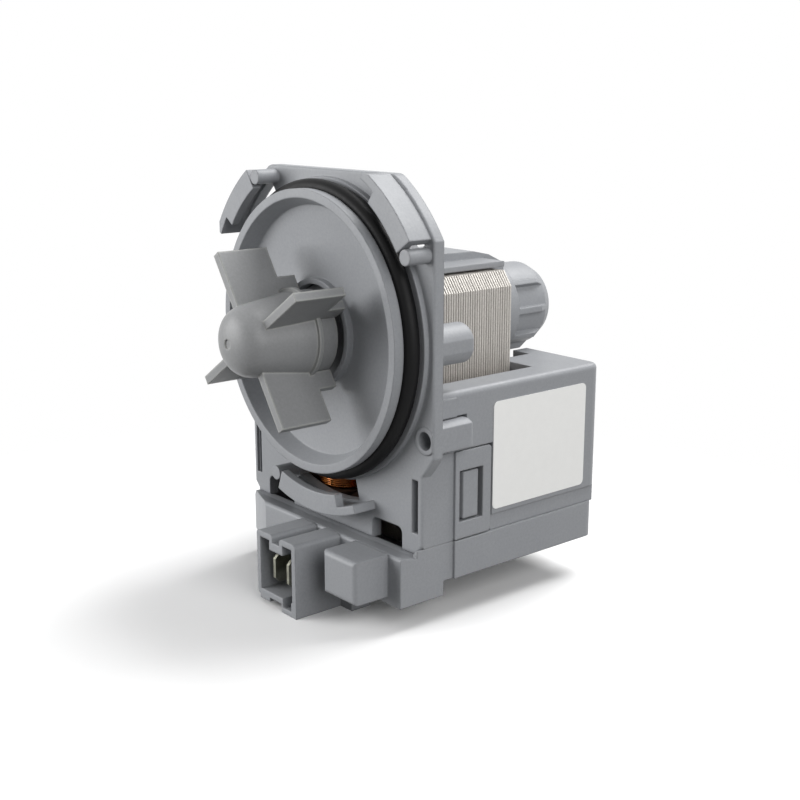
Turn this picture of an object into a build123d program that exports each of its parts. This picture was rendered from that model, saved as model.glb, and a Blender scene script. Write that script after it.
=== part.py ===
from build123d import *
from math import cos, radians, sin
import os

# Washer drain pump. X runs to the right seen from the impeller, Y runs back along the rotor's
# axis, Z runs up. The origin is the rotor's axis on the front face of the flange. Millimetres.

overrun = 1.0  # how far a cut runs past the face it opens
running_gap = 0.06  # radial gap of the shaft in its bushes

# Dish with its rim, which plugs into the sump, and the O-ring in the rim's groove
rim_radius = 30.4
rim_lip = 1.9
rim_land = 2.3  # rim in front of the groove
rim_slope = 1.6
ring_section = 3.4
ring_side_gap = 0.05
groove_depth = 1.5
groove_back = 1.2
groove_wall = 1.9
shoulder_width = 2.2
floor_edge_front = 3.3
floor_front = 2.4
floor_crown = 0.15
floor_thickness = 2.2
collar_gap = 1.0  # round the impeller's neck
collar_wall = 1.2
collar_front = 3.9
groove_radius = rim_radius - groove_depth
groove_front = groove_back + ring_section + 2 * ring_side_gap
rim_front = groove_front + rim_land
shoulder_radius = rim_radius + shoulder_width
floor_edge_radius = rim_radius - rim_lip - rim_slope
dish_back_radius = groove_radius - groove_wall

# Bayonet hooks round the rim: where each starts, how far its lip and its wall reach, in degrees
hook_starts = (34.0, 124.0, -108.5)
hook_lip_spans = (20.5, 20.5, 32.5)
hook_wall_spans = (27.5, 27.5, 41.5)
hook_height = 5.6
hook_lip_thickness = 2.0
hook_lip_width = 4.6
hook_rim_gap = 4.9  # from the rim to the lips
hook_wall = 1.9
hook_gap_inset = 0.4
hook_gap_extra_angle = 1.5
stop_pin_radius = 1.6
stop_pin_inset = 2.9
stop_pin_angle = 3.0
hook_lip_inner = rim_radius + hook_rim_gap
hook_radius = hook_lip_inner + hook_lip_width
hook_gap_inner = shoulder_radius + hook_gap_inset
stop_pin_circle = hook_radius - stop_pin_inset

# Flange plate: a disc with flats, and a foot that laps over the base tray
plate_margin = 0.5  # plate beyond the hooks
plate_flat_depth = 6.4
plate_top_extra = 0.2
plate_corner = 3.5
plate_thickness = 2.5
plate_edge_round = 0.5
plate_foot_bevel = 1.4
plate_foot_lap = 1.6
hook_seam_gap = 2.0  # from the lowest hook down to the seam with the base tray
skirt_inset = 3.4
skirt_wall = 1.7
skirt_depth = 8.7
skirt_boss_gap = 0.7
plate_outline_radius = hook_radius + plate_margin
plate_half_width = plate_outline_radius - plate_flat_depth
plate_top = plate_half_width + plate_top_extra
parting_drop = hook_radius + hook_seam_gap
plate_foot_drop = parting_drop + plate_foot_lap
skirt_half_width = plate_half_width - skirt_inset
plate_foot_half_width = skirt_half_width - plate_foot_bevel

# Screw bosses and blind bosses on the back of the plate
screw_edge = 2.3
screw_drop = 18.3
screw_hole_radius = 1.9
screw_boss_radius = 3.4
boss_length = 8.9
boss_round = 1.2
boss_end_wall = 1.5
screw_rim_wall = 1.0
screw_rim_height = 0.3
blind_boss_edge = 4.0
blind_boss_rise = 0.4
blind_boss_radius = 4.2
pilot_radius = 1.6
pilot_depth = 7.0
screw_x = plate_half_width - screw_edge
blind_boss_x = plate_half_width - blind_boss_edge
boss_back = plate_thickness + boss_length
skirt_top_drop = screw_drop + screw_boss_radius + skirt_boss_gap

# Slots and notches in the plate
side_slot_width = 1.9
side_slot_inset = 1.2
side_slot_screw_gap = 9.0
side_slot_seam_gap = 3.1
notch_edge = 4.8
notch_width = 10.0
notch_height = 4.9
notch_round = 1.5
side_slot_top_drop = screw_drop + side_slot_screw_gap
side_slot_bottom_drop = parting_drop - side_slot_seam_gap
notch_outer = plate_foot_half_width - notch_edge
notch_inner = notch_outer - notch_width
notch_top_drop = plate_foot_drop - notch_height

# Shaft with its bushes and seal
shaft_radius = 2.0
shaft_front = 23.2
shaft_tail = 1.0
shaft_end_gap = 1.0
bush_wall = 2.0
seal_wall = 1.2
seal_back = 0.8
seal_bush_gap = 0.2
rear_bush_length = 6.0
tail_bore_gap = 0.6
bush_radius = shaft_radius + bush_wall
seal_radius = bush_radius + seal_wall
bush_front = seal_back + seal_bush_gap
tail_bore_radius = shaft_radius + tail_bore_gap

# Rotor cup behind the dish, and the stack of plates round it
cup_inner = 9.6
cup_wall = 1.6
stack_front = 11.4
stack_depth = 26.0
cup_ring_overhang = 9.5
cup_tail_step = 1.3
cup_tail_wall = 1.5
cup_tail_round = 4.7
cup_end_inset = 2.5
cup_end_wall = 1.7
cup_rib_thickness = 1.4
cup_rib_lead = 0.6
cup_rib_end_height = 1.0
cup_rib_end_gap = 0.4
cup_rib_count = 8
cup_rib_step = 36.0
rear_bush_inset = 3.1
cup_outer = cup_inner + cup_wall
stack_back = stack_front + stack_depth
stack_middle = (stack_front + stack_back) / 2
cup_ring_back = stack_back + cup_ring_overhang
rear_bush_front = cup_ring_back + rear_bush_inset
rear_bush_back = rear_bush_front + rear_bush_length
shaft_back = rear_bush_back + shaft_tail
cup_back = shaft_back + shaft_end_gap + cup_end_wall
cup_tail_straight = cup_back - cup_tail_round
cup_tail_radius = cup_outer - cup_tail_step
cup_end_radius = cup_tail_radius - cup_end_inset
cup_rib_straight = cup_tail_straight - cup_rib_lead
cup_rib_end_radius = cup_end_radius + cup_rib_end_height

# Shelf and hump over the stator
shelf_half_width = 14.0
shelf_thickness = 1.2
shelf_gap = 0.5
shelf_overhang = 1.3
hump_half_width = 7.0
hump_rise = 2.4
hump_fall_share = 0.955
hump_shoulder_inset = 1.4
hump_mid_length = 4.5
hump_mid_share = 0.89
hump_end_inset = 1.5
hump_end_share = 0.74
hump_root = 7.0
stack_top = cup_outer
shelf_bottom = stack_top + shelf_gap
shelf_top = shelf_bottom + shelf_thickness
shelf_back = stack_back + shelf_overhang
hump_height = shelf_top + hump_rise
hump_shoulder_back = stack_back - hump_shoulder_inset
hump_mid_back = hump_shoulder_back + hump_mid_length
hump_end_back = cup_ring_back - hump_end_inset

# Clip arms that hold the coil housing
arm_step = 0.6
arm_thickness = 1.7
arm_end_wall = 2.4
arm_bottom_gap = 0.3
arm_corner = 1.0
window_skirt_gap = 1.2
window_length = 6.7
window_top_wall = 4.3
window_bottom_wall = 4.0
latch_front_gap = 0.8
latch_back_gap = 1.2
latch_side_gap = 0.5
arm_half_width = skirt_half_width + arm_step
window_front = skirt_depth + window_skirt_gap
window_back = window_front + window_length
arm_back = window_back + arm_end_wall
window_top_drop = skirt_top_drop + window_top_wall
window_bottom_drop = parting_drop - window_bottom_wall
latch_front = window_front + latch_front_gap
latch_back = window_back - latch_back_gap

# Coil housing, as wide as the clip arms
case_front_gap = 0.3
case_wall = 2.0
case_front_wall = 1.7
case_step_margin = 2.0
case_rear_room = 5.3
case_recess_clear = 0.3
case_corner = 2.5
case_top_round = 1.2
case_band_height = 3.7
case_band_depth = 0.5
case_window_inset = 7.0
case_window_lead = 2.4
case_pocket_margin = 2.7
case_pocket_lap = 0.5
case_saddle_half_width = 8.8
case_saddle_depth = 3.8
guide_pad_length = 5.8
guide_pad_top_gap = 1.2
guide_pad_width = 4.0
guide_pad_height = 0.4
case_half_width = arm_half_width
case_front = plate_thickness + case_front_gap
case_recess_outer = skirt_half_width - skirt_wall - case_recess_clear
case_front_inner = case_recess_outer - case_front_wall
case_recess_back = arm_back + case_recess_clear
case_recess_top_drop = skirt_top_drop - case_recess_clear
case_step_back = arm_back + case_step_margin
case_band_top_drop = parting_drop - case_band_height
case_window_half_width = case_half_width - case_window_inset
case_window_front = stack_front - case_window_lead
case_pocket_half_width = cup_outer + case_pocket_margin
case_pocket_back = cup_ring_back + case_pocket_lap

# Stator: two legs with their poles, joined below by a yoke, with a bobbin round each leg
stack_chamfer_width = 2.4
stack_chamfer_height = 3.3
pole_gap_half_width = 7.3
pole_bore_gap = 0.25
leg_width = 9.0
yoke_seam_rise = 2.4
bobbin_gap = 0.2
bobbin_wall = 0.9
bobbin_flange = 1.2
bobbin_case_gap = 0.4
bobbin_middle_gap = 0.5
bobbin_plate_gap = 0.6
bobbin_cup_gap = 0.7
bobbin_roof_gap = 0.4
bobbin_corner = 4.0
winding_inset = 0.8
winding_round = 5.0
bobbin_edge = case_front_inner - bobbin_case_gap
leg_centre = (bobbin_edge + bobbin_middle_gap) / 2
bobbin_flange_half_width = (bobbin_edge - bobbin_middle_gap) / 2
bobbin_flange_half_depth = stack_middle - plate_thickness - bobbin_plate_gap
leg_inner = leg_centre - leg_width / 2
stack_half_width = leg_centre + leg_width / 2
yoke_top_drop = parting_drop - yoke_seam_rise
bobbin_top_drop = cup_outer + bobbin_cup_gap
bobbin_bottom_drop = yoke_top_drop - bobbin_gap
bobbin_height = bobbin_bottom_drop - bobbin_top_drop
case_top_drop = bobbin_top_drop - bobbin_roof_gap - case_wall
case_back = stack_middle + bobbin_flange_half_depth + case_rear_room + case_wall
guide_pad_back = case_front + guide_pad_length
guide_pad_top_drop = case_top_drop + guide_pad_top_gap
guide_pad_bottom_drop = guide_pad_top_drop + guide_pad_width

# Rating label, bare
label_arm_gap = 0.4
label_back_gap = 2.5
label_top_gap = 3.9
label_band_gap = 1.1
label_thickness = 0.15
label_corner = 1.2
label_front = arm_back + label_arm_gap
label_length = case_back - case_corner - label_back_gap - label_front
label_top_drop = case_top_drop + label_top_gap
label_height = case_band_top_drop - label_band_gap - label_top_drop

# Base tray, whose floor carries the yoke
tray_depth = 8.3
tray_back_inset = 0.7
tray_wall = 2.0
tray_floor = 1.8
tray_cavity_front = 1.0
block_front = 5.72
block_step = 3.25
block_back = 6.1
block_bevel_inset = 12.6
block_bevel_y = 0.2
block_edge_round = 0.7
ledge_drop = 0.6
ledge_cheek_front = 1.2
plate_seat_gap = 0.1
tray_corner = 2.5
tray_bottom_drop = parting_drop + tray_depth
tray_back = case_back - tray_back_inset
yoke_height = tray_bottom_drop - tray_floor - yoke_top_drop
block_bottom_drop = tray_bottom_drop + block_step
block_bevel_x = skirt_half_width - block_bevel_inset
ledge_front_drop = parting_drop + ledge_drop

# Connector shroud on the tray, and the quick-connect tabs inside it
shroud_centre_x = 3.25
shroud_width = 14.3
shroud_length = 11.88
shroud_wall = 1.35
shroud_end_wall = 1.88
shroud_corner = 0.9
shroud_key_offset = 0.05
shroud_key_width = 4.9
shroud_key_depth = 2.2
shroud_groove_width = 2.6
shroud_groove_depth = 1.7
shroud_foot_height = 1.9
shroud_foot_margin = 0.5
shroud_toe_width = 4.5
shroud_toe_height = 0.9
latch_pocket_edge = 4.8
latch_pocket_width = 3.0
latch_pocket_depth = 0.7
foot_width = 3.9
foot_back = 0.6
tab_thickness = 0.8
tab_width = 6.3
tab_pitch = 5.0
tab_offset = 0.15
tab_key_gap = 1.5
tab_floor_gap = 2.0
tab_tip_recess = 1.4
tab_bevel = 1.0
tab_tail_width = 2.4
tab_tail_gap = 0.1
tab_slot_gap = 0.1
terminal_pit_floor = 1.2
lead_radius = 0.5
lead_bend = 1.2
lead_reach = 3.0
shroud_left = shroud_width / 2 - shroud_centre_x
shroud_right = shroud_width / 2 + shroud_centre_x
shroud_front = block_front + shroud_length
shroud_cavity_back = block_front + shroud_end_wall
shroud_key_centre = shroud_centre_x + shroud_key_offset
shroud_top_drop = ledge_front_drop
tab_centre_x = shroud_centre_x - tab_offset
tab_centre_drop = shroud_top_drop + shroud_wall + shroud_key_depth + tab_key_gap + tab_width / 2
shroud_bottom_drop = tab_centre_drop + tab_width / 2 + tab_floor_gap + shroud_wall
shroud_middle_drop = (shroud_top_drop + shroud_bottom_drop) / 2
shroud_foot_drop = shroud_bottom_drop + shroud_foot_height
shroud_toe_drop = shroud_bottom_drop + shroud_toe_height
shroud_toe_right = shroud_toe_width - shroud_left
latch_pocket_left = shroud_right - latch_pocket_edge
latch_pocket_right = latch_pocket_left + latch_pocket_width
latch_pocket_drop = shroud_bottom_drop + latch_pocket_depth
shroud_foot_left = latch_pocket_left - shroud_foot_margin
foot_left = shroud_right
foot_right = foot_left + foot_width
tab_tail_back = block_back - tray_wall - tab_tail_gap

# Thermal cut-out in its box beside the connector
cutout_box_inset = 4.1
cutout_box_width = 10.7
cutout_box_length = 8.68
cutout_box_height = 9.4
cutout_box_wall = 1.4
cutout_box_round = 1.0
cutout_length = 9.0
cutout_height = 4.0
cutout_side_gap = 0.3
cutout_box_right = skirt_half_width - cutout_box_inset
cutout_box_left = cutout_box_right - cutout_box_width
cutout_box_front = block_front + cutout_box_length
cutout_box_bottom_drop = ledge_front_drop + cutout_box_height

# Bearing carrier
carrier_flange_gap = 0.2
carrier_front = 1.8
carrier_step_back = 0.2
carrier_body_gap = 0.1
carrier_stack_gap = 2.4
carrier_back = stack_front - carrier_stack_gap

# Rotor
core_wall = 1.4
core_cheek_inset = 0.2
core_cheek = 1.0
magnet_cup_gap = 0.6
magnet_chamfer = 0.5
washer_rim = 0.5
washer_thickness = 1.0
washer_play = 0.4
end_float = 0.15
core_radius = shaft_radius + core_wall
core_front = carrier_back + washer_thickness + 2 * end_float
core_back = rear_bush_front - washer_thickness - washer_play
magnet_radius = cup_inner - magnet_cup_gap
core_cheek_radius = magnet_radius - core_cheek_inset
washer_radius = bush_radius + washer_rim

# Impeller
nose_wall = 2.0
nose_length = 5.0
nose_dimple_radius = 1.0
nose_dimple_depth = 0.3
shaft_tip_gap = 0.8
blade_rim_gap = 1.8
blade_collar_gap = 0.5
blade_radius = 20.3
blade_root_radius = 13.2
blade_thickness = 1.9
blade_count = 4
blade_phase = 33.6
hub_front_radius = 7.6
hub_back_radius = 9.3
hub_rim_width = 0.7
hub_rim_length = 1.0
hub_step = 0.1
hub_wall = 1.5
hub_end_wall = 2.4
hub_neck_step = 0.1
stop_half_angle = 25.0
stop_dog_gap = 0.7
stop_cap_gap = 1.9
cap_spigot = 1.2
cap_spigot_gap = 0.1
cap_collar_gap = 0.8
cap_bore_gap = 0.1
hub_socket_front = shaft_front + shaft_tip_gap
nose_front = hub_socket_front + nose_wall
blade_front = nose_front - nose_length
blade_step_back = rim_front + blade_rim_gap
blade_root_back = collar_front + blade_collar_gap
hub_back = blade_step_back + hub_step
hub_cavity_front = blade_front - hub_end_wall
hub_rim_radius = hub_back_radius + hub_rim_width
hub_neck_radius = hub_back_radius - hub_neck_step
collar_inner = hub_neck_radius + collar_gap
collar_outer = collar_inner + collar_wall
cap_back = collar_front + cap_collar_gap
cap_front = hub_back + cap_spigot
cavity_front_radius = hub_front_radius - hub_wall
cavity_back_radius = hub_back_radius - hub_wall
cap_spigot_radius = cavity_back_radius - 4 * cap_spigot_gap
stop_back = cap_front + stop_cap_gap

# Drive dog on the shaft, and the rubber pads it strikes
dog_wall = 1.7
dog_reach_gap = 0.4
dog_half_angle = 25.0
dog_front_gap = 0.3
dog_cap_gap = 0.4
pad_thickness = 0.9
dog_hub_radius = shaft_radius + dog_wall
dog_back = stop_back + dog_cap_gap
stop_inner_radius = dog_hub_radius + stop_dog_gap

side_names = ((-1, "left"), (1, "right"))


def ring_sector(inner_radius, outer_radius, start_angle, span):
    """Draw a slice of a ring about the rotor's axis in the open sketch."""
    with BuildLine() as sector_outline:
        outer_arc = CenterArc((0, 0), outer_radius, start_angle, span)
        inner_arc = CenterArc((0, 0), inner_radius, start_angle, span)
        Line(outer_arc @ 0, inner_arc @ 0)
        Line(outer_arc @ 1, inner_arc @ 1)
    make_face(sector_outline.edges())


def span_rectangle(low_x, high_x, low_y, high_y, mode=Mode.ADD):
    """Draw a rectangle between two pairs of bounds in the open sketch."""
    with Locations(((low_x + high_x) / 2, (low_y + high_y) / 2)):
        Rectangle(high_x - low_x, high_y - low_y, mode=mode)


def foot_outline(gap):
    """Draw the plate's lower half, bevelled towards its foot, in the open sketch."""
    foot_x = plate_foot_half_width + gap
    bevel_bottom = plate_foot_bevel / 2 - plate_foot_drop
    bevel_top = bevel_bottom + plate_foot_bevel
    with BuildLine() as foot_edge:
        Polyline(
            (-skirt_half_width, 0),
            (-skirt_half_width, bevel_top - gap),
            (-foot_x, bevel_bottom - gap),
            (-foot_x, -plate_foot_drop),
            (foot_x, -plate_foot_drop),
            (foot_x, bevel_bottom - gap),
            (skirt_half_width, bevel_top - gap),
            (skirt_half_width, 0),
            close=True,
        )
    make_face(foot_edge.edges())


os.makedirs("parts", exist_ok=True)

# Flange housing: plate, dish, rotor cup, hooks, bosses, skirt and clip arms in one moulding
with BuildPart() as flange_housing:
    with BuildSketch(Plane.XZ) as plate_outline:
        Circle(plate_outline_radius)
        span_rectangle(-plate_half_width, plate_half_width, -plate_foot_drop, plate_top, Mode.INTERSECT)
        fillet(plate_outline.vertices().group_by(Axis.Y)[-1], plate_corner)
        foot_outline(0)
    extrude(amount=-plate_thickness)
    fillet(flange_housing.faces().sort_by(Axis.Y)[0].edges(), plate_edge_round)
    # Bosses behind the plate, flat on the side of the plate's edge
    with BuildSketch(Plane.XZ.offset(-plate_thickness)):
        with Locations((-screw_x, -screw_drop), (screw_x, -screw_drop)):
            Circle(screw_boss_radius)
        with Locations((-blind_boss_x, blind_boss_rise), (blind_boss_x, blind_boss_rise)):
            Circle(blind_boss_radius)
        span_rectangle(-plate_half_width, plate_half_width, -parting_drop, plate_top, Mode.INTERSECT)
    extrude(amount=-(boss_back - plate_thickness))
    fillet(flange_housing.faces().filter_by(Axis.Y).group_by(Axis.Y)[-1].edges(), boss_round)
    with BuildSketch(Plane.XZ):
        Circle(dish_back_radius)
    extrude(amount=-plate_thickness, mode=Mode.SUBTRACT)
    # Dish, rim, O-ring groove and cup, turned from one profile of radius against depth
    with BuildSketch(Plane.XY):
        with BuildLine():
            Polyline(
                (collar_inner, -collar_front),
                (collar_outer, -collar_front),
                (collar_outer, -floor_front),
            )
            ThreePointArc(
                (collar_outer, -floor_front),
                ((collar_outer + floor_edge_radius) / 2, -(floor_front + floor_edge_front) / 2 + floor_crown),
                (floor_edge_radius, -floor_edge_front),
            )
            Polyline(
                (floor_edge_radius, -floor_edge_front),
                (rim_radius - rim_lip, -rim_front),
                (rim_radius, -rim_front),
                (rim_radius, -groove_front),
                (groove_radius, -groove_front),
                (groove_radius, -groove_back),
                (shoulder_radius, -groove_back),
                (shoulder_radius, plate_thickness),
                (dish_back_radius, plate_thickness),
                (floor_edge_radius - floor_thickness / 2, floor_thickness - floor_edge_front),
                (cup_outer, floor_thickness - floor_front),
                (cup_outer, cup_ring_back),
                (cup_tail_radius, cup_ring_back),
                (cup_tail_radius, cup_tail_straight),
            )
            Spline(
                (cup_tail_radius, cup_tail_straight),
                (cup_end_radius, cup_back),
                tangents=((0, 1), (-1, 0)),
            )
            Polyline(
                (cup_end_radius, cup_back),
                (0, cup_back),
                (0, cup_back - cup_end_wall),
                (tail_bore_radius, cup_back - cup_end_wall),
                (tail_bore_radius, rear_bush_back),
                (bush_radius, rear_bush_back),
                (bush_radius, rear_bush_front),
                (cup_tail_radius - cup_tail_wall, rear_bush_front),
                (cup_tail_radius - cup_tail_wall, cup_ring_back),
                (cup_inner, cup_ring_back - cup_tail_wall),
                (cup_inner, carrier_step_back),
                (collar_inner, carrier_step_back),
                (collar_inner, -collar_front),
            )
        make_face()
    revolve(axis=Axis.Y)
    # Ribs along the tail of the cup, none of them under the hump
    with BuildSketch(Plane.XZ.offset(-cup_ring_back)):
        with PolarLocations(
            (cup_outer + cup_end_radius) / 2,
            cup_rib_count,
            start_angle=4 * cup_rib_step,
            angular_range=(cup_rib_count - 1) * cup_rib_step,
            endpoint=True,
        ):
            Rectangle(cup_outer - cup_end_radius, cup_rib_thickness)
    extrude(amount=-(cup_back - cup_rib_end_gap - cup_ring_back))
    with BuildSketch(Plane.XY):
        with BuildLine():
            Polyline(
                (cup_outer + overrun, cup_rib_straight),
                (cup_outer, cup_rib_straight),
                (cup_rib_end_radius, cup_back),
                (cup_outer + overrun, cup_back),
                close=True,
            )
        make_face()
    revolve(axis=Axis.Y, mode=Mode.SUBTRACT)
    # Shelf over the stator and the hump along its middle
    with BuildSketch(Plane.XZ.offset(-plate_thickness)):
        span_rectangle(-shelf_half_width, shelf_half_width, shelf_bottom, shelf_top)
    extrude(amount=-(shelf_back - plate_thickness))
    with BuildSketch(Plane.YZ):
        with BuildLine():
            Polyline(
                (plate_thickness, hump_root),
                (plate_thickness, hump_height),
                (hump_shoulder_back, hump_height * hump_fall_share),
                (hump_mid_back, hump_height * hump_mid_share),
                (hump_end_back, hump_height * hump_end_share),
                (hump_end_back, hump_root),
                close=True,
            )
        make_face()
    extrude(amount=hump_half_width, both=True)
    with BuildSketch(Plane.XZ.offset(-carrier_step_back)):
        Circle(cup_inner)
    extrude(amount=-(cup_ring_back - cup_tail_wall - carrier_step_back), mode=Mode.SUBTRACT)
    # Holes in the bosses, with a low rim round each screw hole
    with BuildSketch(Plane.XZ):
        with Locations((-screw_x, -screw_drop), (screw_x, -screw_drop)):
            Circle(screw_hole_radius + screw_rim_wall)
        span_rectangle(-plate_half_width, plate_half_width, -parting_drop, plate_top, Mode.INTERSECT)
    extrude(amount=screw_rim_height)
    with BuildSketch(Plane.XZ.offset(screw_rim_height)):
        with Locations((-screw_x, -screw_drop), (screw_x, -screw_drop)):
            Circle(screw_hole_radius)
    extrude(amount=-(screw_rim_height + boss_back - boss_end_wall), mode=Mode.SUBTRACT)
    with BuildSketch(Plane.XZ.offset(-boss_back)):
        with Locations((-blind_boss_x, blind_boss_rise), (blind_boss_x, blind_boss_rise)):
            Circle(pilot_radius)
    extrude(amount=pilot_depth, mode=Mode.SUBTRACT)
    # Bayonet hooks with their stop pins, and the gap through the plate under each lip
    for start, lip_span, wall_span in zip(hook_starts, hook_lip_spans, hook_wall_spans):
        with BuildSketch(Plane.XZ):
            ring_sector(hook_radius - hook_wall, hook_radius, start, wall_span)
            span_rectangle(
                -plate_half_width, plate_half_width, -hook_radius, plate_top, Mode.INTERSECT
            )
        extrude(amount=hook_height)
        with BuildSketch(Plane.XZ.offset(hook_height - hook_lip_thickness)):
            ring_sector(hook_lip_inner, hook_radius - hook_wall / 2, start, lip_span)
        extrude(amount=hook_lip_thickness)
        with BuildSketch(Plane.XZ):
            with PolarLocations(stop_pin_circle, 1, start_angle=start - stop_pin_angle):
                Circle(stop_pin_radius)
        extrude(amount=hook_height)
        with BuildSketch(Plane.XZ):
            ring_sector(
                hook_gap_inner,
                hook_radius - hook_wall - plate_edge_round,
                start,
                lip_span + hook_gap_extra_angle,
            )
        extrude(amount=-plate_thickness, mode=Mode.SUBTRACT)
    # Narrow slots beside the skirt and notches over the tray
    with BuildSketch(Plane.XZ):
        for side in (-1, 1):
            slot_inner = side * (skirt_half_width - side_slot_inset - side_slot_width)
            slot_outer = side * (skirt_half_width - side_slot_inset)
            span_rectangle(
                min(slot_inner, slot_outer),
                max(slot_inner, slot_outer),
                -side_slot_bottom_drop,
                -side_slot_top_drop,
            )
    extrude(amount=-plate_thickness, mode=Mode.SUBTRACT)
    for side in (-1, 1):
        with BuildSketch(Plane.XZ) as notch:
            span_rectangle(
                min(side * notch_inner, side * notch_outer),
                max(side * notch_inner, side * notch_outer),
                -plate_foot_drop,
                -notch_top_drop,
            )
            fillet(notch.vertices().group_by(Axis.Y)[-1], notch_round)
        extrude(amount=-plate_thickness, mode=Mode.SUBTRACT)
    # Skirt walls and clip arms, the arms with a window each
    for side in (-1, 1):
        with BuildSketch(Plane.YZ.offset(side * skirt_half_width)):
            span_rectangle(plate_edge_round, skirt_depth, -parting_drop, -skirt_top_drop)
        extrude(amount=-side * skirt_wall)
        with BuildSketch(Plane.YZ.offset(side * arm_half_width)) as arm:
            span_rectangle(skirt_depth, arm_back, arm_bottom_gap - parting_drop, -skirt_top_drop)
            fillet(arm.vertices().group_by(Axis.X)[-1], arm_corner)
            span_rectangle(
                window_front, window_back, -window_bottom_drop, -window_top_drop, Mode.SUBTRACT
            )
        extrude(amount=-side * arm_thickness)
flange_housing.part.label = "flange_housing"
export_step(flange_housing.part, "parts/flange_housing.step")

# O-ring in the rim's groove
ring_centre_y = -(groove_front + groove_back) / 2
with BuildPart() as o_ring:
    with BuildSketch(Plane.XY):
        with Locations((groove_radius + ring_section / 2, ring_centre_y)):
            Circle(ring_section / 2)
    revolve(axis=Axis.Y)
o_ring.part.label = "o_ring"
export_step(o_ring.part, "parts/o_ring.step")

# Bearing carrier that closes the rotor cup behind the impeller
with BuildPart() as bearing_carrier:
    with BuildSketch(Plane.XY):
        with BuildLine():
            Polyline(
                (seal_radius, -carrier_front),
                (collar_inner - carrier_flange_gap, -carrier_front),
                (collar_inner - carrier_flange_gap, carrier_step_back),
                (cup_inner - carrier_body_gap, carrier_step_back),
                (cup_inner - carrier_body_gap, carrier_back),
                (bush_radius, carrier_back),
                (bush_radius, seal_back),
                (seal_radius, seal_back),
                close=True,
            )
        make_face()
    revolve(axis=Axis.Y)
bearing_carrier.part.label = "bearing_carrier"
export_step(bearing_carrier.part, "parts/bearing_carrier.step")

# Shaft seal and the two bushes
for piece_name, outer_radius, front_y, back_y in (
    ("shaft_seal", seal_radius, -carrier_front, seal_back),
    ("front_bush", bush_radius, bush_front, carrier_back),
    ("rear_bush", bush_radius, rear_bush_front, rear_bush_back),
):
    with BuildPart() as sleeve:
        with BuildSketch(Plane.XZ.offset(-front_y)):
            Circle(outer_radius)
            Circle(shaft_radius + running_gap, mode=Mode.SUBTRACT)
        extrude(amount=-(back_y - front_y))
    sleeve.part.label = piece_name
    export_step(sleeve.part, f"parts/{piece_name}.step")

# Stator legs with their pole pieces
for side, side_name in side_names:
    with BuildPart() as stator_leg:
        with BuildSketch(Plane.XZ.offset(-stack_front)):
            with BuildLine():
                Polyline(
                    (side * pole_gap_half_width, 0),
                    (side * pole_gap_half_width, stack_top),
                    (side * (stack_half_width - stack_chamfer_width), stack_top),
                    (side * stack_half_width, stack_top - stack_chamfer_height),
                    (side * stack_half_width, -yoke_top_drop),
                    (side * leg_inner, -yoke_top_drop),
                    (side * leg_inner, 0),
                    close=True,
                )
            make_face()
            Circle(cup_outer + pole_bore_gap, mode=Mode.SUBTRACT)
        extrude(amount=-stack_depth)
    stator_leg.part.label = f"stator_leg_{side_name}"
    export_step(stator_leg.part, f"parts/stator_leg_{side_name}.step")

with BuildPart() as stator_yoke:
    with BuildSketch(Plane.XZ.offset(-stack_front)):
        span_rectangle(
            -stack_half_width, stack_half_width, -yoke_top_drop - yoke_height, -yoke_top_drop
        )
    extrude(amount=-stack_depth)
stator_yoke.part.label = "stator_yoke"
export_step(stator_yoke.part, "parts/stator_yoke.step")

# Bobbins with their windings
tube_half_width = leg_width / 2 + bobbin_gap + bobbin_wall
tube_half_depth = stack_depth / 2 + bobbin_gap + bobbin_wall
for side, side_name in side_names:
    with BuildPart() as bobbin:
        with BuildSketch(Plane.XY.offset(-bobbin_bottom_drop)):
            with Locations((side * leg_centre, stack_middle)):
                Rectangle(2 * tube_half_width, 2 * tube_half_depth)
        extrude(amount=bobbin_height)
        for flange_bottom in (-bobbin_bottom_drop, -bobbin_top_drop - bobbin_flange):
            with BuildSketch(Plane.XY.offset(flange_bottom)):
                with Locations((side * leg_centre, stack_middle)):
                    RectangleRounded(
                        2 * bobbin_flange_half_width, 2 * bobbin_flange_half_depth, bobbin_corner
                    )
            extrude(amount=bobbin_flange)
        with BuildSketch(Plane.XY.offset(-bobbin_bottom_drop)):
            with Locations((side * leg_centre, stack_middle)):
                Rectangle(leg_width + 2 * bobbin_gap, stack_depth + 2 * bobbin_gap)
        extrude(amount=bobbin_height, mode=Mode.SUBTRACT)
    bobbin.part.label = f"bobbin_{side_name}"
    export_step(bobbin.part, f"parts/bobbin_{side_name}.step")

    with BuildPart() as coil:
        with BuildSketch(Plane.XY.offset(bobbin_flange - bobbin_bottom_drop)):
            with Locations((side * leg_centre, stack_middle)):
                RectangleRounded(
                    2 * (bobbin_flange_half_width - winding_inset),
                    2 * (bobbin_flange_half_depth - winding_inset),
                    winding_round,
                )
                Rectangle(2 * tube_half_width, 2 * tube_half_depth, mode=Mode.SUBTRACT)
        extrude(amount=bobbin_height - 2 * bobbin_flange)
    coil.part.label = f"coil_{side_name}"
    export_step(coil.part, f"parts/coil_{side_name}.step")

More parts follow.
